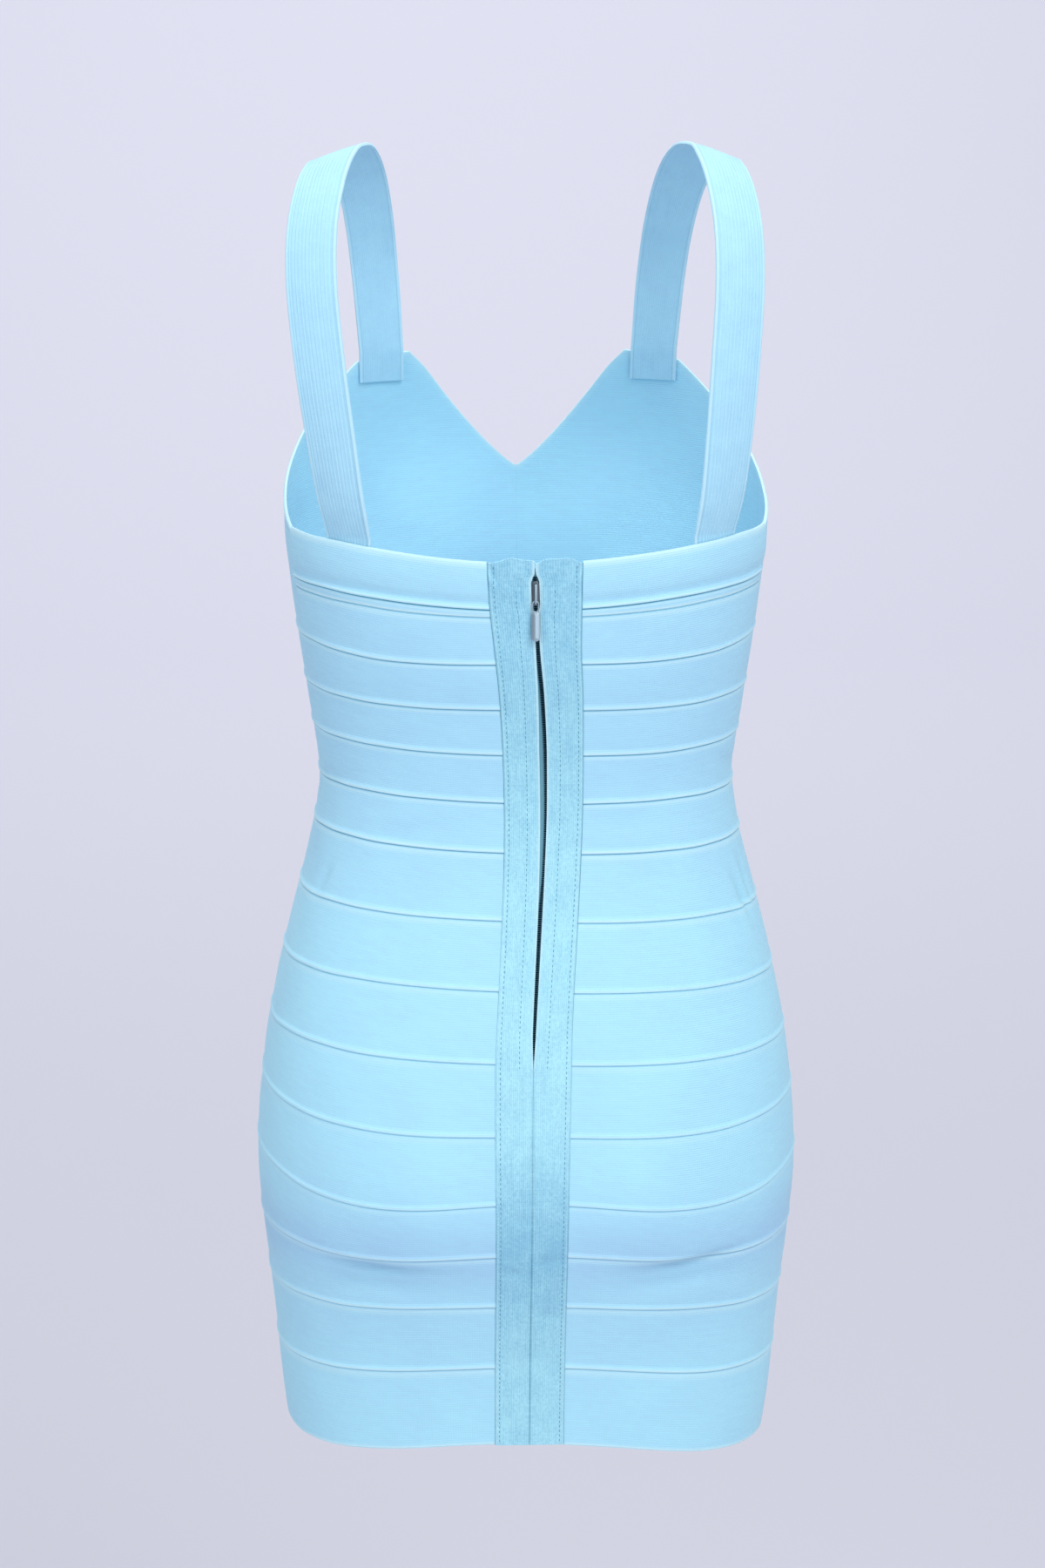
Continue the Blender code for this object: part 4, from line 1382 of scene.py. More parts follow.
@dataclass(frozen=True)
class Plate:
    """Rounded metal plate that lies across Y, with soft edges."""

    half_width: float
    top: float
    bottom: float
    corner: float
    low: float  # depth of its inner face, and of its outer one
    high: float
    edge: float = 0.3 * MM  # radius of the soft edges
    corner_steps: int = 10
    edge_steps: int = 4
    crown: float = 0.0  # how far the middle of the outer face is domed
    crown_rings: tuple[float, ...] = (0.12, 0.25, 0.4, 0.55, 0.7, 0.85, 0.95)
    ridge: float = 0.1 * MM  # half width of the dome's top

    def ring(self, inset: float, y: float) -> Grid:
        """Outline of the plate at one depth.

        Args:
            inset: How far the outline is drawn in.
            y: Depth.

        Returns:
            Points round the plate.
        """
        half, top, bottom = self.half_width - inset, self.top - inset, self.bottom + inset
        corner = max(self.corner - inset, 0.05 * MM)
        middles = (
            (half - corner, top - corner), (corner - half, top - corner),
            (corner - half, bottom + corner), (half - corner, bottom + corner),
        )
        points = []
        for number, (x, z) in enumerate(middles):
            for step in range(self.corner_steps + 1):
                angle = math.pi / 2 * (number + step / self.corner_steps)
                points.append((x + corner * math.cos(angle), y, z + corner * math.sin(angle)))
        return np.array(points)

    def mesh(self, name: str, place: Grid) -> Mesh:
        """Build the plate.

        Args:
            name: Name of the mesh.
            place: Where the plate's own origin goes.

        Returns:
            The closed mesh.
        """
        angles = np.linspace(0.0, math.pi / 2, self.edge_steps + 1)
        bevel = list(zip(self.edge * (1.0 - np.sin(angles)), self.edge * (1.0 - np.cos(angles))))
        rings = [self.ring(inset, self.low + rise) for inset, rise in bevel]
        rings += [self.ring(inset, self.high - fall) for inset, fall in reversed(bevel)]
        for share in self.crown_rings:
            inset = self.edge + (self.half_width - self.edge) * share
            rise = self.crown * math.sin(math.pi / 2 * share)
            rings.append(self.ring(min(inset, self.half_width - self.ridge), self.high + rise))
        return skin_rings(name, [ring + place for ring in rings])


@dataclass
class ZipMetal:
    """Slider with its bridge on the dress, and the wire loop with its tab on the pull."""

    slider_top: float = -245.2 * MM
    slider_length: float = 15.0 * MM
    slider_width: float = 4.1 * MM
    slider_corner: float = 1.6 * MM
    slider_face: float = 1.0 * MM  # depths off the figure's surface
    slider_back: float = -1.1 * MM
    slider_crown: float = 0.12 * MM
    bridge_top: float = -246.7 * MM
    bridge_width: float = 1.3 * MM
    bar: float = 0.9 * MM  # thickness of the bridge
    bridge_corner: float = 0.6 * MM
    bridge_edge: float = 0.15 * MM  # width of the bridge's bevel, and how far it draws in
    bridge_draw: float = 0.93
    sink: float = 0.4 * MM  # how far the bridge's feet stand in the slider
    hinge_height: float = -257.2 * MM
    wire: float = 0.45 * MM  # radius of the loop's wire
    clear: float = 0.3 * MM  # running room round the wire
    loop_radius: float = 1.75 * MM  # of each end of the loop
    loop_length: float = 7.0 * MM
    tab_width: float = 5.2 * MM
    tab_length: float = 18.4 * MM
    tab_thick: float = 1.2 * MM
    tab_corner: float = 2.1 * MM
    tab_crown: float = 0.36 * MM

    def seat(self) -> Grid:
        """Find the slider's place.

        Returns:
            Its centre x and the depth of the figure's surface behind it, at height 0.
        """
        middle = np.array(self.slider_top - self.slider_length / 2)
        centre = smooth_column(STRIP_ROWS, middle, 1)
        surface = FIGURE.points(FIGURE.turn_at(centre, middle), middle)
        return np.array([float(centre), float(surface[1]), 0.0])

    def hinge(self) -> Grid:
        """Middle of the wire that hangs on the bridge, on the joint's axis."""
        seat = self.seat()
        return np.array([seat[0], seat[1] + self.slider_face + self.clear + self.wire, self.hinge_height])

    def bridge(self) -> Mesh:
        """Arch over the slider, from its nose to below the hinge.

        Returns:
            The closed mesh.
        """
        seat = self.seat()
        low = self.hinge()[1] - seat[1] + self.wire + self.clear
        high = low + self.bar
        leg_top = self.hinge_height - self.wire - self.clear
        leg_end = leg_top - self.bar
        root, corner = self.slider_face - self.sink, self.bridge_corner
        outline = [(root, self.bridge_top)]
        for centre_z, turn in ((self.bridge_top - corner, 90.0), (leg_end + corner, 0.0)):
            for step in range(5):
                angle = math.radians(turn - 22.5 * step)
                out, up = corner * math.cos(angle), corner * math.sin(angle)
                outline.append((high - corner + out, centre_z + up))
        outline += [(root, leg_end), (root, leg_top), (low, leg_top)]
        outline += [(low, self.bridge_top - self.bar), (root, self.bridge_top - self.bar)]
        half, flat = self.bridge_width / 2, self.bridge_width / 2 - self.bridge_edge
        rings = []
        middle = np.array([(low + high) / 2, (self.bridge_top + leg_end) / 2])
        for x, draw in ((-half, self.bridge_draw), (-flat, 1.0), (flat, 1.0), (half, self.bridge_draw)):
            drawn = middle + (np.array(outline) - middle) * draw
            rings.append(np.column_stack([np.full(len(drawn), x), drawn]) + seat)
        return skin_rings("bridge", rings)

    def slider(self, material: Material) -> Object:
        """Build the slider's body.

        Args:
            material: Finish of the metal.

        Returns:
            The new object.
        """
        bottom = self.slider_top - self.slider_length
        body = Plate(
            self.slider_width / 2, self.slider_top, bottom, self.slider_corner,
            self.slider_back, self.slider_face - self.slider_crown, crown=self.slider_crown,
        )
        return joined("slider_body", [body.mesh("body", self.seat())], material)

    def arch(self, material: Material) -> Object:
        """Build the bridge that carries the pull."""
        return joined("slider_bridge", [self.bridge()], material)

    def loop(self, bend_steps: int = 18, sides: int = 12) -> Mesh:
        """Closed loop of round wire that hangs from the hinge.

        Args:
            bend_steps: Steps round each end of the loop.
            sides: Sides of the round wire.

        Returns:
            The closed mesh.
        """
        run = self.loop_length - self.wire - 2 * self.loop_radius
        rings = []
        for middle, start in ((-self.loop_radius, 0.0), (-self.loop_radius - run, math.pi)):
            for step in range(bend_steps + 1):
                angle = start + math.pi * step / bend_steps
                radial = np.array([math.cos(angle), 0.0, math.sin(angle)])
                place = self.hinge() + np.array([0.0, 0.0, middle]) + radial * self.loop_radius
                spokes = 2 * math.pi * (np.arange(sides) + 0.5) / sides
                out = np.cos(spokes)[:, None] * radial
                out = out + np.sin(spokes)[:, None] * np.array([0.0, 1.0, 0.0])
                rings.append(place + out * self.wire)
        return skin_rings("loop", rings, closed=True)

    def pull(self, material: Material) -> Object:
        """Build the loop and the tab as one piece.

        Args:
            material: Finish of the metal.

        Returns:
            The new object.
        """
        top = -self.loop_length + 2 * self.wire
        half = self.tab_thick / 2
        tab = Plate(
            self.tab_width / 2, top, top - self.tab_length, self.tab_corner,
            -half, half - self.tab_crown, crown=self.tab_crown,
        )
        return joined("pull_metal", [self.loop(), tab.mesh("tab", self.hinge())], material)


# ---- node trees
Value = NodeSocket | float | int | tuple


@dataclass
class Graph:
    """Adds nodes to one tree and joins their sockets."""

    tree: NodeTree

    def node(self, kind: str, settings: dict | None = None, inputs: dict | None = None) -> Node:
        """Add a node, set its properties and feed its inputs.

        Args:
            kind: Type name of the node.
            settings: Properties to set before the inputs.
            inputs: Values or sockets by input name or number.

        Returns:
            The new node.
        """
        node = self.tree.nodes.new(kind)
        for key, value in (settings or {}).items():
            setattr(node, key, value)
        for key, value in (inputs or {}).items():
            self.feed(node.inputs[key], value)
        return node

    def feed(self, socket: NodeSocket, value: Value) -> None:
        """Link a socket to another, or set its own value.

        Args:
            socket: Input to feed.
            value: Output socket or plain value.
        """
        if isinstance(value, NodeSocket):
            self.tree.links.new(value, socket)
        else:
            socket.default_value = value

    def math(self, operation: str, *values: Value) -> NodeSocket:
        """Result of one Math node."""
        inputs = dict(enumerate(values))
        return self.node("ShaderNodeMath", {"operation": operation}, inputs).outputs[0]

    def times(self, value: Value, factor: Value) -> NodeSocket:
        """Product of two values."""
        return self.math("MULTIPLY", value, factor)

    def sum(self, *values: Value) -> NodeSocket:
        """Add several values up.

        Args:
            values: Output sockets or plain values.

        Returns:
            Output of the last Math node.
        """
        total = values[0]
        for value in values[1:]:
            total = self.math("ADD", total, value)
        return total

    def wave(self, phase: Value) -> NodeSocket:
        """Smooth wave from 0 to 1 with a period of 1."""
        angle = self.times(phase, 2 * math.pi)
        return self.math("MULTIPLY_ADD", self.math("COSINE", angle), 0.5, 0.5)

    def noise(self, place: Value, scale: Value, detail: float = 2.0) -> NodeSocket:
        """Noise from 0 to 1 about one half."""
        inputs = {"Vector": place, "Scale": scale, "Detail": detail, "Roughness": 0.55}
        return self.node("ShaderNodeTexNoise", None, inputs).outputs[0]

    def scaled(self, place: Value, factors: tuple[float, float, float]) -> NodeSocket:
        """Place stretched along its axes."""
        settings, inputs = {"operation": "MULTIPLY"}, {0: place, 1: factors}
        return self.node("ShaderNodeVectorMath", settings, inputs).outputs[0]

    def blend(self, share: Value, first: Value, second: Value) -> NodeSocket:
        """Mix two colours.

        Args:
            share: 0 gives the first colour, 1 the second.
            first: Colour or output socket.
            second: Colour or output socket.

        Returns:
            Output of the Mix node.
        """
        mix = self.node("ShaderNodeMix", {"data_type": "RGBA"})
        self.feed(mix.inputs[0], share)
        self.feed(mix.inputs[6], first)
        self.feed(mix.inputs[7], second)
        return mix.outputs[2]


def open_group(
    name: str,
    inputs: dict[str, tuple[str, Value]],
    outputs: dict[str, str],
) -> NodeTree:
    """Make an empty shader group with named sockets.

    Args:
        name: Name of the group.
        inputs: Kind and starting value of each input, by name.
        outputs: Kind of each output, by name.

    Returns:
        The new group.
    """
    tree = bpy.data.node_groups.new(name, "ShaderNodeTree")
    for label, (kind, value) in inputs.items():
        socket = tree.interface.new_socket(name=label, in_out="INPUT", socket_type=kind)
        if value is not None:
            socket.default_value = value
    for label, kind in outputs.items():
        tree.interface.new_socket(name=label, in_out="OUTPUT", socket_type=kind)
    return tree


def knit_group() -> NodeTree:
    """Shader group of a ribbed knit, drawn on the cloth's own map in metres.

    Returns:
        A group with the outputs Height and Shade, both from 0 to 1.
    """
    tree = open_group(
        "KnitRibs",
        {
            "Map": ("NodeSocketVector", None),
            "Pitch": ("NodeSocketFloat", RIB_PITCH),
            "Loop": ("NodeSocketFloat", KNIT_LOOP),
            "Fuzz": ("NodeSocketFloat", 0.3),
            "Slant": ("NodeSocketFloat", 0.0),
            "Crinkle": ("NodeSocketFloat", 0.0),
            "Beat": ("NodeSocketFloat", 0.0),
        },
        {"Height": "NodeSocketFloat", "Shade": "NodeSocketFloat"},
    )
    graph = Graph(tree)
    given = graph.node("NodeGroupInput").outputs
    parts = graph.node("ShaderNodeSeparateXYZ", None, {0: given["Map"]}).outputs
    row = graph.math("DIVIDE", parts[1], given["Pitch"])
    rib = graph.wave(row)
    slant = graph.times(graph.math("PINGPONG", row, 0.5), given["Slant"])
    stitch = graph.wave(graph.math("ADD", graph.math("DIVIDE", parts[0], given["Loop"]), slant))
    fibre = graph.noise(graph.scaled(given["Map"], (0.3, 1.0, 1.0)), 2600.0)
    looped = graph.times(graph.times(rib, stitch), 0.4)
    ribbed = graph.math("MULTIPLY_ADD", rib, 0.6, looped)
    crumple = graph.math("SUBTRACT", graph.noise(given["Map"], 480.0, 3.0), 0.5)
    crumple = graph.times(crumple, given["Crinkle"])
    height = graph.math("MULTIPLY_ADD", graph.math("SUBTRACT", fibre, 0.5), given["Fuzz"], ribbed)
    height = graph.math("ADD", height, crumple)
    streaks = graph.noise(graph.scaled(given["Map"], (0.07, 1.0, 1.0)), 420.0, 2.0)
    coarse = graph.noise(given["Map"], 130.0, 3.0)
    beat = graph.wave(graph.sum(
        graph.times(parts[1], 118.0),
        graph.times(parts[0], 41.0),
        graph.times(coarse, 1.6),
    ))
    # darker in the ribs' grooves: painted shade; the streaks, clouds and beat are random tone
    shade = graph.sum(
        graph.times(height, 0.35),
        graph.times(coarse, 0.25),
        graph.times(streaks, 0.40),
        graph.times(graph.math("SUBTRACT", beat, 0.5), given["Beat"]),
    )
    result = graph.node("NodeGroupOutput")
    graph.feed(result.inputs["Height"], height)
    graph.feed(result.inputs["Shade"], shade)
    return tree


Rgb = tuple[float, float, float]


@dataclass(frozen=True)
class ClothFinish:
    """Finish of a knitted or woven piece."""

    name: str
    slot: str
    colour: Rgb  # linear, of the ribs' crowns
    deep: Rgb  # linear, between the ribs as painted shade of their grooves, and the colour that the painted shade mask and the random clouds darken toward
    edge: Rgb  # linear, painted highlight on the crests and finished edges
    seam: Rgb  # linear, of a seam's thread line and its painted shade
    # strength of the painted edge highlight
    highlight_share: float = 0.75
    # strength of a seam's thread line with its painted shade
    seam_thread_and_shade_share: float = 0.66
    # strength of the painted shade
    painted_shade_share: float = 0.75
    pitch: float = RIB_PITCH
    loop: float = KNIT_LOOP
    fuzz: float = 0.35
    slant: float = 0.0
    beat: float = 0.0  # strength of the wide, faint waves of shade
    crinkle: float = 0.0  # strength of the fine crumples
    stretch: float = STRETCH  # worn length over cut length
    hold: Hold = Hold.STRETCHED
    bump: float = 0.12 * MM
    mottle: float = 0.25  # strength of the clouds of shade, and how many a metre
    mottle_scale: float = 26.0
    roughness: float = 0.62
    sheen: float = 0.12

    def material(self, knit: NodeTree) -> Material:
        """Build the material.

        Args:
            knit: Shared group of the knit's ribs.

        Returns:
            The material of the cloth.
        """
        material = bpy.data.materials.new(self.name)
        material.use_nodes = True
        graph = Graph(material.node_tree)
        shader = material.node_tree.nodes["Principled BSDF"]
        place = graph.node("ShaderNodeUVMap", {"uv_map": "Cloth"}).outputs[0]
        ribs = graph.node("ShaderNodeGroup", {"node_tree": knit}, {
            "Map": place, "Pitch": self.pitch, "Loop": self.loop, "Fuzz": self.fuzz,
            "Slant": self.slant, "Beat": self.beat, "Crinkle": self.crinkle,
        })
        body = graph.node("ShaderNodeTexCoord").outputs["Object"]
        clouds = graph.noise(body, self.mottle_scale, 4.0)
        clouds = graph.times(graph.math("SUBTRACT", clouds, 0.5), 2.0 * self.mottle)
        # painted shade: darkens the cloth toward its deep colour
        painted_shade = graph.node("ShaderNodeAttribute", {"attribute_name": "painted_shade"}).outputs["Fac"]
        painted_shade = graph.times(painted_shade, -self.painted_shade_share)
        share = graph.sum(ribs.outputs["Shade"], clouds, painted_shade, 0.5 * self.painted_shade_share)
        share = graph.node("ShaderNodeClamp", None, {"Value": share}).outputs[0]
        cloth = graph.blend(share, (*self.deep, 1.0), (*self.colour, 1.0))
        # painted highlight along edges and crests, then the seams' thread lines with their painted shade
        for name, strength, colour in (
            ("edge", self.highlight_share, self.edge), ("seam", self.seam_thread_and_shade_share, self.seam),
        ):
            mask = graph.node("ShaderNodeAttribute", {"attribute_name": name}).outputs["Fac"]
            cloth = graph.blend(graph.times(mask, strength), cloth, (*colour, 1.0))
        graph.feed(shader.inputs["Base Color"], cloth)
        bump = graph.node("ShaderNodeBump", None, {
            "Strength": 0.8, "Distance": self.bump, "Height": ribs.outputs["Height"],
        })
        graph.feed(shader.inputs["Normal"], bump.outputs[0])
        shader.inputs["Roughness"].default_value = self.roughness
        shader.inputs["Sheen Weight"].default_value = self.sheen
        shader.inputs["Sheen Roughness"].default_value = 0.5
        shader.inputs["Specular IOR Level"].default_value = 0.25
        return material


@dataclass(frozen=True)
class SmoothFinish:
    """Finish of thread, nylon or metal, with slight unevenness."""

    name: str
    slot: str
    colour: Rgb  # linear, between this and the next
    deep: Rgb
    roughness: float
    metallic: float = 0.0
    grain: float = 900.0  # grains a metre
    gleam: float = 0.5  # specular level
    uneven: float = 0.12  # spread of the roughness

    def material(self) -> Material:
        """Build the material.

        Returns:
            The material of the thread, nylon or metal.
        """
        material = bpy.data.materials.new(self.name)
        material.use_nodes = True
        graph = Graph(material.node_tree)
        shader = material.node_tree.nodes["Principled BSDF"]
        body = graph.node("ShaderNodeTexCoord").outputs["Object"]
        grain = graph.noise(body, self.grain, 3.0)
        colour = graph.blend(grain, (*self.deep, 1.0), (*self.colour, 1.0))
        graph.feed(shader.inputs["Base Color"], colour)
        rough = graph.math("MULTIPLY_ADD", grain, self.uneven, self.roughness - self.uneven / 2)
        graph.feed(shader.inputs["Roughness"], rough)
        shader.inputs["Metallic"].default_value = self.metallic
        shader.inputs["Specular IOR Level"].default_value = self.gleam
        return material


BAND_KNIT = ClothFinish(
    "band_knit", "knit_band",
    (0.44, 0.825, 0.98), (0.385, 0.65, 0.885), (0.66, 0.93, 0.985), (0.05, 0.31, 0.46),
    slant=0.3, beat=0.06, crinkle=0.35,
)
STRAP_KNIT = ClothFinish(
    "strap_knit", "knit_band",
    (0.44, 0.77, 0.94), (0.34, 0.62, 0.84), (0.68, 0.90, 0.98), (0.10, 0.38, 0.54),
    highlight_share=0.42, bump=0.09 * MM, crinkle=1.6, mottle=0.34, mottle_scale=90.0,
)
FACING_RIB = ClothFinish(
    "facing_rib", "knit_facing",
    (0.475, 0.87, 0.985), (0.255, 0.565, 0.765), (0.66, 0.93, 0.98), (0.05, 0.28, 0.40),
    fuzz=0.9, mottle=0.32, mottle_scale=75.0, bump=0.20 * MM, crinkle=3.2,
    stretch=1.0, hold=Hold.HUNG,
)
TAPE_WEAVE = ClothFinish(
    "tape_weave", "zip_tape",
    (0.22, 0.46, 0.56), (0.12, 0.31, 0.40), (0.2, 0.4, 0.48), (0.05, 0.1, 0.14),
    pitch=0.6 * MM, loop=0.8 * MM, bump=0.04 * MM, sheen=0.0, stretch=1.0, hold=Hold.HUNG,
)
THREAD = SmoothFinish("thread", "knit_facing", (0.11, 0.32, 0.44), (0.06, 0.21, 0.31), 0.6)
PALE_THREAD = SmoothFinish("pale_thread", "knit_facing", (0.55, 0.85, 0.95), (0.36, 0.66, 0.80), 0.6)
# near-black coil: painted shade of the dark gap between the tapes
GAP_SHADE_COIL = SmoothFinish(
    "coil_painted_shade", "zip_tape", (0.001, 0.016, 0.036), (0.0005, 0.009, 0.022), 0.7, gleam=0.05,
)
METAL = SmoothFinish("slider_steel", "slider_metal", (0.42, 0.55, 0.63), (0.34, 0.46, 0.54), 0.32, 1.0)
# dark slider body: painted shade of a silver body that lies shadowed between the strips
SHADED_SLIDER_METAL = SmoothFinish(
    "slider_body_painted_shade", "slider_metal", (0.16, 0.19, 0.22), (0.10, 0.12, 0.15), 0.4, 1.0,
)


# ---- repeated small parts
class Lay(Enum):
    """How the beads of a row lie: along their path, or straight across the zip."""

    ALONG = False
    ACROSS = True


def bead_tree() -> NodeTree:
    """Geometry nodes that set a row of long beads on a path, with a fixed seed.

    Returns:
        The node tree; its inputs are set on each row's modifier.
    """
    tree = bpy.data.node_groups.new("BeadRow", "GeometryNodeTree")
    make = tree.interface.new_socket
    make(name="Geometry", in_out="INPUT", socket_type="NodeSocketGeometry")
    for label, kind, value in (
        ("Pitch", "NodeSocketFloat", 3.0 * MM), ("Length", "NodeSocketFloat", 2.0 * MM),
        ("Radius", "NodeSocketFloat", 0.25 * MM), ("Uneven", "NodeSocketFloat", 0.1),
        ("Across", "NodeSocketBool", False), ("Seed", "NodeSocketInt", 1),
    ):
        make(name=label, in_out="INPUT", socket_type=kind).default_value = value
    make(name="Material", in_out="INPUT", socket_type="NodeSocketMaterial")
    make(name="Geometry", in_out="OUTPUT", socket_type="NodeSocketGeometry")
    graph = Graph(tree)
    given = graph.node("NodeGroupInput").outputs
    curve = graph.node("GeometryNodeMeshToCurve", None, {0: given["Geometry"]})
    spots = graph.node("GeometryNodeCurveToPoints", {"mode": "LENGTH"}, {
        "Curve": curve.outputs[0], "Length": given["Pitch"],
    })
    way = graph.node("GeometryNodeSwitch", {"input_type": "VECTOR"}, {
        "Switch": given["Across"], "False": spots.outputs["Tangent"], "True": (1.0, 0.0, 0.0),
    })
    turn = graph.node("FunctionNodeAlignRotationToVector", {"axis": "X"}, {"Vector": way.outputs[0]})
    size = graph.node("GeometryNodeInputNamedAttribute", {"data_type": "FLOAT"}, {"Name": "size"})
    chance = graph.node("FunctionNodeRandomValue", {"data_type": "FLOAT"}, {"Seed": given["Seed"]})
    spread = graph.times(graph.math("SUBTRACT", chance.outputs[1], 0.5), given["Uneven"])
    scale = graph.times(size.outputs[0], graph.math("ADD", spread, 1.0))
    long_half = graph.times(graph.times(given["Length"], 0.5), scale)
    form = graph.node("ShaderNodeCombineXYZ", None, {0: long_half, 1: given["Radius"], 2: given["Radius"]})
    bead = graph.node("GeometryNodeMeshUVSphere", None, {"Segments": 8, "Rings": 6, "Radius": 1.0})
    row = graph.node("GeometryNodeInstanceOnPoints", None, {
        "Points": spots.outputs["Points"], "Instance": bead.outputs[0],
        "Rotation": turn.outputs[0], "Scale": form.outputs[0],
    })
    solid = graph.node("GeometryNodeRealizeInstances", None, {0: row.outputs[0]})
    painted = graph.node("GeometryNodeSetMaterial", None, {
        "Geometry": solid.outputs[0], "Material": given["Material"],
    })
    graph.feed(graph.node("NodeGroupOutput").inputs[0], painted.outputs[0])
    return tree


@dataclass
class BeadRow:
    """Row of stitches or zip teeth along one or more paths."""

    name: str
    paths: list[Grid]
    pitch: float
    length: float
    radius: float
    lay: Lay = Lay.ALONG
    sizes: list[Grid] | None = None
    uneven: float = 0.12
    seed: int = 7

    def piece(self, tree: NodeTree, material: Material) -> Object:
        """Run the node tree once and keep its result as a plain mesh.

        Args:
            tree: Geometry nodes that set the beads.
            material: Finish of the beads.

        Returns:
            The new object, linked to the scene.
        """
        points = np.concatenate(self.paths)
        edges, first = [], 0
        for path in self.paths:
            edges += [(first + k, first + k + 1) for k in range(len(path) - 1)]
            first += len(path)
        mesh = bpy.data.meshes.new(self.name)
        mesh.from_pydata(points.tolist(), edges, [])
        sizes = np.concatenate(self.sizes) if self.sizes else np.ones(len(points))
        mesh.attributes.new("size", "FLOAT", "POINT").data.foreach_set("value", sizes.astype(np.float32))
        piece = add_object(self.name, mesh)
        modifier = piece.modifiers.new("row", "NODES")
        modifier.node_group = tree
        values = {
            "Pitch": self.pitch, "Length": self.length, "Radius": self.radius, "Uneven": self.uneven,
            "Across": self.lay.value, "Seed": self.seed, "Material": material,
        }
        for socket in tree.interface.items_tree:
            if socket.in_out == "INPUT" and socket.name in values:
                modifier[socket.identifier] = values[socket.name]
        bpy.context.view_layer.update()
        graph = bpy.context.evaluated_depsgraph_get()
        made = bpy.data.meshes.new_from_object(piece.evaluated_get(graph))
        piece.modifiers.remove(modifier)
        piece.data = made
        bpy.data.meshes.remove(mesh)
        made.name = self.name
        made.shade_smooth()
        return piece


# ---- the dress
@dataclass
class Workroom:
    """Dresses pieces, sets them on their bodies and adds up the cloth that is cut."""

    knit: NodeTree = field(default_factory=knit_group)
    beads: NodeTree = field(default_factory=bead_tree)
    whole_cut: float = 0.0

    def __post_init__(self) -> None:
        """Build each finish once."""
        cloths = (BAND_KNIT, STRAP_KNIT, FACING_RIB, TAPE_WEAVE)
        self.cloth = {finish.name: finish.material(self.knit) for finish in cloths}
        trims = (THREAD, PALE_THREAD, GAP_SHADE_COIL, METAL, SHADED_SLIDER_METAL)
        self.trim = {finish.name: finish.material() for finish in trims}

    def lay_cloth(
        self,
        wall: Wall,
        node: str,
        finish: ClothFinish,
    ) -> None:
        """Make one cloth piece, put it on the dress and log its flat cut.

        Args:
            wall: Wall of the piece.
            node: CAD node that it stands for.
            finish: Finish of the cloth.
        """
        piece = wall.piece(self.cloth[finish.name])
        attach(piece, DRESS_BODY)
        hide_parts(node)
        rows = run_length(wall.outer, 1)[:, -1]
        columns = run_length(wall.outer, 0)[-1]
        short, long = sorted((float(rows.max()), float(columns.max())))
        flat = (max(short, LEAST_BLANK), long / finish.stretch)
        area = min(wall.area() / finish.stretch, flat[0] * flat[1])
        self.whole_cut += area
        log.info(
            "%s: %d faces, cut %.0f x %.0f mm, %.4f m2",
            piece.name, len(piece.data.polygons), flat[0] / MM, flat[1] / MM, area,
        )

    def fit(self, piece: Object, finish: SmoothFinish, body: str, *nodes: str) -> None:
        """Put a thread, nylon or metal piece on its body.

        Args:
            piece: Finished piece.
            finish: Finish that it has; not used.
            body: Body that it rides on.
            nodes: CAD nodes that it stands for.
        """
        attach(piece, body)
        if nodes:
            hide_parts(*nodes)
        log.info("%s: %d faces on %s", piece.name, len(piece.data.polygons), body)

    def sew(self, row: BeadRow, finish: SmoothFinish) -> Object:
        """Make a row of stitches or teeth and put it on the dress.

        Args:
            row: Row to make.
            finish: Finish of its beads.

        Returns:
            The finished piece.
        """
        piece = row.piece(self.beads, self.trim[finish.name])
        self.fit(piece, finish, DRESS_BODY)
        return piece


@dataclass
class Rings:
    """Bands that run from strip to strip round the front, one under the other."""

    def build(self, room: Workroom) -> None:
        """Sew the bands from the bust down to the hem.

        Args:
            room: Workroom that dresses the pieces.
        """
        pairs = zip(SEAMS[FIRST_RING:], SEAMS[FIRST_RING + 1:])
        for number, (upper, lower) in enumerate(pairs, start=1):
            band = Band(f"band_{number:02d}", upper, lower, hemmed=lower is not HEM)
            room.lay_cloth(band.wall(), band.node, BAND_KNIT)


@dataclass
class BackPanel:
    """Top band, narrow band and first plain band on each half of the back."""

    columns: int = 96
    steps: int = 8
    puffed: HemProfile = HemProfile(
        rise=1.2 * MM, crest=1.2 * MM, reach=3.0 * MM, belly=1.5 * MM, dip=0.9 * MM,
    )
    narrow: HemProfile = HemProfile(belly=0.35 * MM, tuck=0.3 * MM, tuck_reach=1.0 * MM)
    plain: HemProfile = HemProfile()

    def bands(self, hand: Hand) -> list[Band]:
        """Lay out the three bands of one half.

        Args:
            hand: Half of the dress.

        Returns:
            The bands, from the top down.
        """
        marks = band_marks(self.steps)
        kinds = (
            ("top_band", self.puffed, marks, 1.0),
            ("narrow_band", self.narrow, NARROW_MARKS, 1.45),
            ("back_band", self.plain, marks, 0.6),
        )
        bands = []
        for (kind, profile, rows, stitching), upper, lower in zip(kinds, SEAMS, SEAMS[1:]):
            hemmed = kind != "narrow_band"
            node = f"{kind}_{hand.word}"
            band = Band(node, upper, lower, hand.value, hemmed, profile, rows, self.columns)
            bands.append(replace(band, stitching=stitching))
        return bands

    def build(self, room: Workroom) -> None:
        """Sew the bands of both halves.

        Args:
            room: Workroom that dresses the pieces.
        """
        for hand in Hand:
            for band in self.bands(hand):
                room.lay_cloth(band.wall(), band.node, BAND_KNIT)


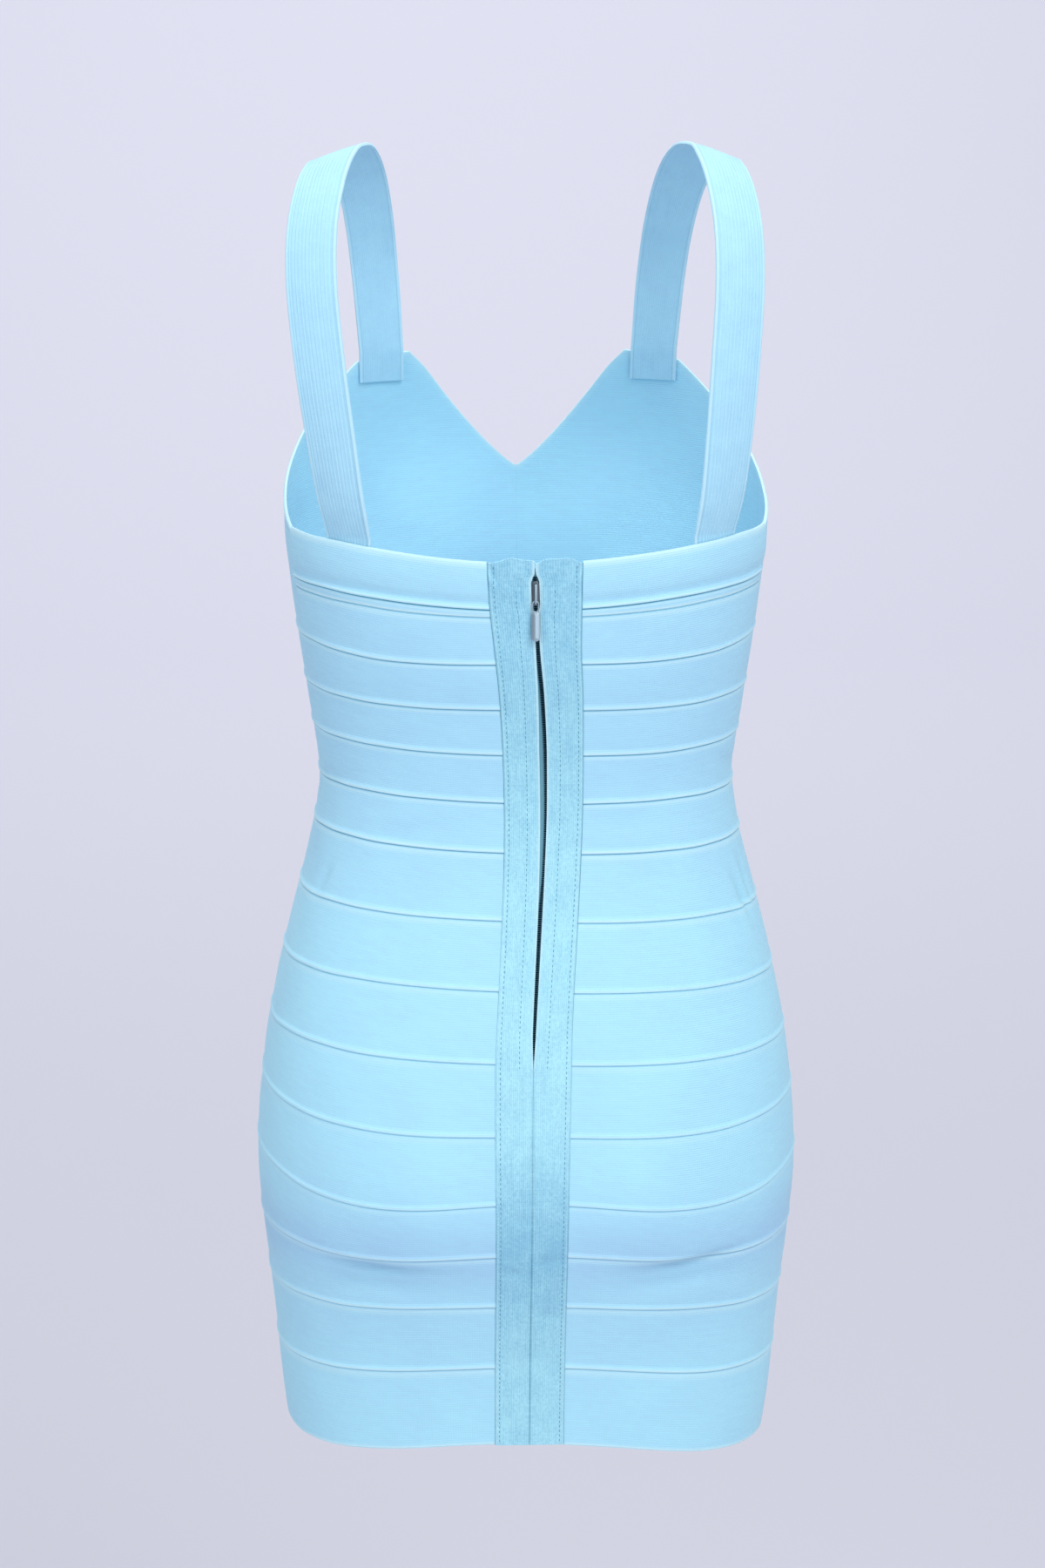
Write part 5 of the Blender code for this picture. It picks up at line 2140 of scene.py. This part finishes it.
@dataclass
class Bodice:
    """Front pieces over the bust, and the straps that hold them up."""

    def build(self, room: Workroom) -> None:
        """Sew the front piece and the strap of both halves.

        Args:
            room: Workroom that dresses the pieces.
        """
        for hand in Hand:
            cup = Cup(f"cup_{hand.word}", hand.value)
            room.lay_cloth(cup.wall(), cup.node, BAND_KNIT)
            strap = Strap(f"strap_{hand.word}", hand.value)
            room.lay_cloth(strap.wall(), strap.node, STRAP_KNIT)


class Tack(NamedTuple):
    """Row of the bar tack: its height and half its length."""

    height: float
    reach: float


@dataclass
class Closure:
    """The zip with its facing strips, tapes, coil and metal, and all their stitches."""

    stitch_top: float = -237.0 * MM
    inner_top: float = -252.0 * MM
    inner_end: float = -545.0 * MM
    hem_margin: float = 3.0 * MM  # height above the hem at which the rows end
    stitch_sink: float = 0.05 * MM
    loop_top: float = -600.0 * MM
    centre_loop_top: float = -560.0 * MM
    loop_share: float = 0.955  # places of the loops across a strip
    centre_share: float = 0.05
    loop_sink: float = 0.08 * MM
    coil_top: float = -243.4 * MM
    coil_end: float = -540.0 * MM
    coil_points: int = 252
    coil_width: float = 3.0 * MM
    coil_depth: float = 1.35 * MM
    tacks: tuple[Tack, ...] = (Tack(-547.5 * MM, 6.2 * MM), Tack(-549.4 * MM, 5.0 * MM))
    tack_points: int = 17
    tack_waver: float = 0.25 * MM
    tack_rise: float = 0.85 * MM

    def stitches(self, strip: FacingStrip, hand: Hand) -> BeadRow:
        """Two rows of stitches down a strip.

        Args:
            strip: Strip that they are on.
            hand: Half of the dress.

        Returns:
            The rows, not yet made.
        """
        hem = float(FIGURE.seam_height(HEM, 0.0)) + self.hem_margin
        rows = [
            strip.stitch_path(strip.outer_stitch, self.stitch_top, hem, self.stitch_sink),
            strip.stitch_path(strip.inner_stitch, self.inner_top, self.inner_end, self.stitch_sink),
        ]
        name, seed = f"stitches_{hand.word}", hand.value + 5
        return BeadRow(name, rows, 3.1 * MM, 2.1 * MM, 0.26 * MM, seed=seed)

    def edge_loops(self, strip: FacingStrip, hand: Hand) -> BeadRow:
        """Pale loops of thread on a strip's lower edges.

        Args:
            strip: Strip that they are on.
            hand: Half of the dress.

        Returns:
            The rows, not yet made; the wearer's right also has one at the centre.
        """
        hem = float(FIGURE.seam_height(HEM, 0.0)) + self.hem_margin
        rows = [strip.stitch_path(self.loop_share, self.loop_top, hem, self.loop_sink)]
        if hand is Hand.RIGHT:
            rows.append(strip.stitch_path(self.centre_share, self.centre_loop_top, hem, self.loop_sink))
        name, seed = f"edge_loops_{hand.word}", hand.value + 21
        return BeadRow(name, rows, 2.0 * MM, 1.1 * MM, 0.26 * MM, uneven=0.3, seed=seed)

    def coil(self) -> BeadRow:
        """Closed coil of the zip, behind the opening between the strips; its near-black finish is painted
        shade of the gap.

        Returns:
            The row of its turns, not yet made.
        """
        height = np.linspace(self.coil_top, self.coil_end, self.coil_points)
        middle = smooth_column(STRIP_ROWS, height, 1) + smooth_column(COIL_ROWS, height, 1)
        depth = np.full(height.shape, -self.coil_depth)
        path = FIGURE.skin(FIGURE.turn_at(middle, height), height, depth)
        sizes = smooth_column(COIL_ROWS, height, 2) / self.coil_width
        return BeadRow(
            "zip_coil", [path], 1.2 * MM, self.coil_width, 0.45 * MM, Lay.ACROSS, [sizes], uneven=0.04,
        )

    def bar_tack(self) -> BeadRow:
        """Short rows of stitches across the strips at the zip's lower end.

        Returns:
            The rows, not yet made.
        """
        paths = []
        for tack in self.tacks:
            centre = float(smooth_column(STRIP_ROWS, np.array(tack.height), 1))
            x = centre + np.linspace(-tack.reach, tack.reach, self.tack_points)
            height = tack.height + self.tack_waver * np.sin(900.0 * x)
            rise = np.full(x.shape, self.tack_rise)
            paths.append(FIGURE.skin(FIGURE.turn_at(x, height), height, rise))
        return BeadRow("bar_tack", paths, 1.3 * MM, 1.0 * MM, 0.24 * MM, seed=11)

    def build(self, room: Workroom) -> None:
        """Sew the zip into the back and hang its pull on the slider.

        Args:
            room: Workroom that dresses the pieces.
        """
        for hand in Hand:
            strip = FacingStrip(f"zip_facing_{hand.word}", hand.value)
            thread = room.sew(self.stitches(strip, hand), THREAD)
            room.lay_cloth(strip.wall(), strip.node, FACING_RIB)
            tape = ZipTape(f"zip_tape_{hand.word}", hand.value)
            room.lay_cloth(tape.wall(), tape.node, TAPE_WEAVE)
            room.sew(self.edge_loops(strip, hand), PALE_THREAD)
        # the coil's near-black finish paints the gap's shade
        room.sew(self.coil(), GAP_SHADE_COIL)
        room.sew(self.bar_tack(), PALE_THREAD)
        # the slider body's dark finish is painted shade
        parts, steel, shaded_steel = ZipMetal(), room.trim[METAL.name], room.trim[SHADED_SLIDER_METAL.name]
        room.fit(parts.slider(shaded_steel), SHADED_SLIDER_METAL, DRESS_BODY, "zip_slider")
        room.fit(parts.arch(steel), METAL, DRESS_BODY, "zip_slider")
        room.fit(parts.pull(steel), METAL, PULL_BODY, "pull_tab")


# ---- stage, light and camera
@dataclass(frozen=True)
class SoftLight:
    """Large soft area light aimed at a point."""

    name: str
    place: tuple[float, float, float]
    size: float
    power: float
    colour: Rgb = (1.0, 1.0, 1.0)
    aim: tuple[float, float, float] = (0.0, 0.0, -0.45)

    def build(self) -> None:
        """Add the light to the scene."""
        lamp = bpy.data.lights.new(self.name, "AREA")
        lamp.shape = "DISK"
        lamp.size = self.size
        lamp.energy = self.power
        lamp.color = self.colour
        piece = add_object(self.name, lamp)
        piece.location = self.place
        way = Vector(self.aim) - Vector(self.place)
        piece.rotation_euler = way.to_track_quat("-Z", "Y").to_euler()


@dataclass(frozen=True)
class Studio:
    """Plain pale floor that curves up behind the dress, soft lights and the camera."""

    floor: float = -1.42
    half_width: float = 9.0
    near: float = 9.0
    far: float = -8.4
    bend: float = 3.0
    wall_height: float = 6.0
    backdrop: Rgb = (0.625, 0.62, 0.69)
    world: Rgb = (0.80, 0.83, 0.90)
    world_power: float = 0.61
    lights: tuple[SoftLight, ...] = (
        SoftLight("key_light", (-1.1, 2.1, 2.0), 1.8, 45.0, (1.0, 0.995, 0.98)),
        SoftLight("fill_light", (2.5, 2.1, 1.1), 2.3, 25.0, (0.95, 0.98, 1.0)),
        SoftLight("low_light", (-0.75, 2.6, -0.38), 1.9, 11.0, (0.98, 0.99, 1.0), (0.0, 0.0, -0.6)),
        SoftLight("top_light", (0.2, -0.4, 2.0), 2.4, 24.0),
        SoftLight("wall_light", (0.0, -4.6, 4.4), 4.0, 200.0, (0.97, 0.98, 1.0), (-0.3, -8.2, 1.2)),
        SoftLight("sweep_light", (0.0, -3.6, 4.2), 3.2, 42.0, (0.97, 0.98, 1.0), (0.0, -4.6, -1.4)),
    )
    target: tuple[float, float, float] = (0.0021, 0.0, -0.393)
    distance: float = 2.652
    pitch: float = 13.5  # degrees above level
    round_way: float = 3.0  # degrees from straight behind, to the wearer's left
    lens: float = 97.2
    sensor: float = 36.0
    bend_steps: int = 24

    def sweep(self) -> None:
        """Build the floor and the wall behind the dress as one smooth sheet."""
        profile = [(self.near, self.floor), (self.far + self.bend, self.floor)]
        for step in range(1, self.bend_steps + 1):
            angle = math.pi / 2 * step / self.bend_steps
            y = self.far + self.bend - self.bend * math.sin(angle)
            profile.append((y, self.floor + self.bend * (1.0 - math.cos(angle))))
        profile.append((self.far, self.floor + self.wall_height))
        points = [(x, y, z) for y, z in profile for x in (-self.half_width, self.half_width)]
        faces = [(2 * k, 2 * k + 2, 2 * k + 3, 2 * k + 1) for k in range(len(profile) - 1)]
        mesh = bpy.data.meshes.new("studio_floor")
        mesh.from_pydata(points, [], faces)
        mesh.shade_smooth()
        material = bpy.data.materials.new("studio_paper")
        material.use_nodes = True
        shader = material.node_tree.nodes["Principled BSDF"]
        shader.inputs["Base Color"].default_value = (*self.backdrop, 1.0)
        shader.inputs["Roughness"].default_value = 0.9
        mesh.materials.append(material)
        add_object("studio_floor", mesh)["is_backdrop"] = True

    def camera(self) -> None:
        """Place the camera behind and a little above the dress."""
        lens = bpy.data.cameras.new("camera")
        lens.lens = self.lens
        lens.sensor_width = self.sensor
        piece = add_object("camera", lens)
        pitch, turn = math.radians(self.pitch), math.radians(self.round_way)
        level = math.cos(pitch)
        away = Vector((math.sin(turn) * level, math.cos(turn) * level, math.sin(pitch)))
        piece.location = Vector(self.target) + away * self.distance
        piece.rotation_euler = (-away).to_track_quat("-Z", "Y").to_euler()
        bpy.context.scene.camera = piece

    def build(self) -> None:
        """Build the stage, the lights, the world and the camera."""
        scene = bpy.context.scene
        scene.view_settings.view_transform = "Standard"
        world = bpy.data.worlds.new("studio")
        world.use_nodes = True
        background = world.node_tree.nodes["Background"]
        background.inputs["Color"].default_value = (*self.world, 1.0)
        background.inputs["Strength"].default_value = self.world_power
        scene.world = world
        self.sweep()
        for light in self.lights:
            light.build()
        self.camera()


def write_sizes() -> None:
    """Log the frame's bounds and those of the finished pieces."""
    low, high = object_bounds()
    sizes = {"cad": [list(cad_low), list(cad_high)], "visual": [list(low), list(high)]}
    log.info("cad %s, visual %s", sizes["cad"], sizes["visual"])


def main() -> None:
    """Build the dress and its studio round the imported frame."""
    logging.basicConfig(level=logging.INFO, format="%(name)s: %(message)s")
    room = Workroom()
    for part in (Rings(), BackPanel(), Bodice(), Closure()):
        part.build(room)
    log.info("whole cut %.3f m2", room.whole_cut)
    Studio().build()
    write_sizes()


if __name__ == "__main__":
    main()
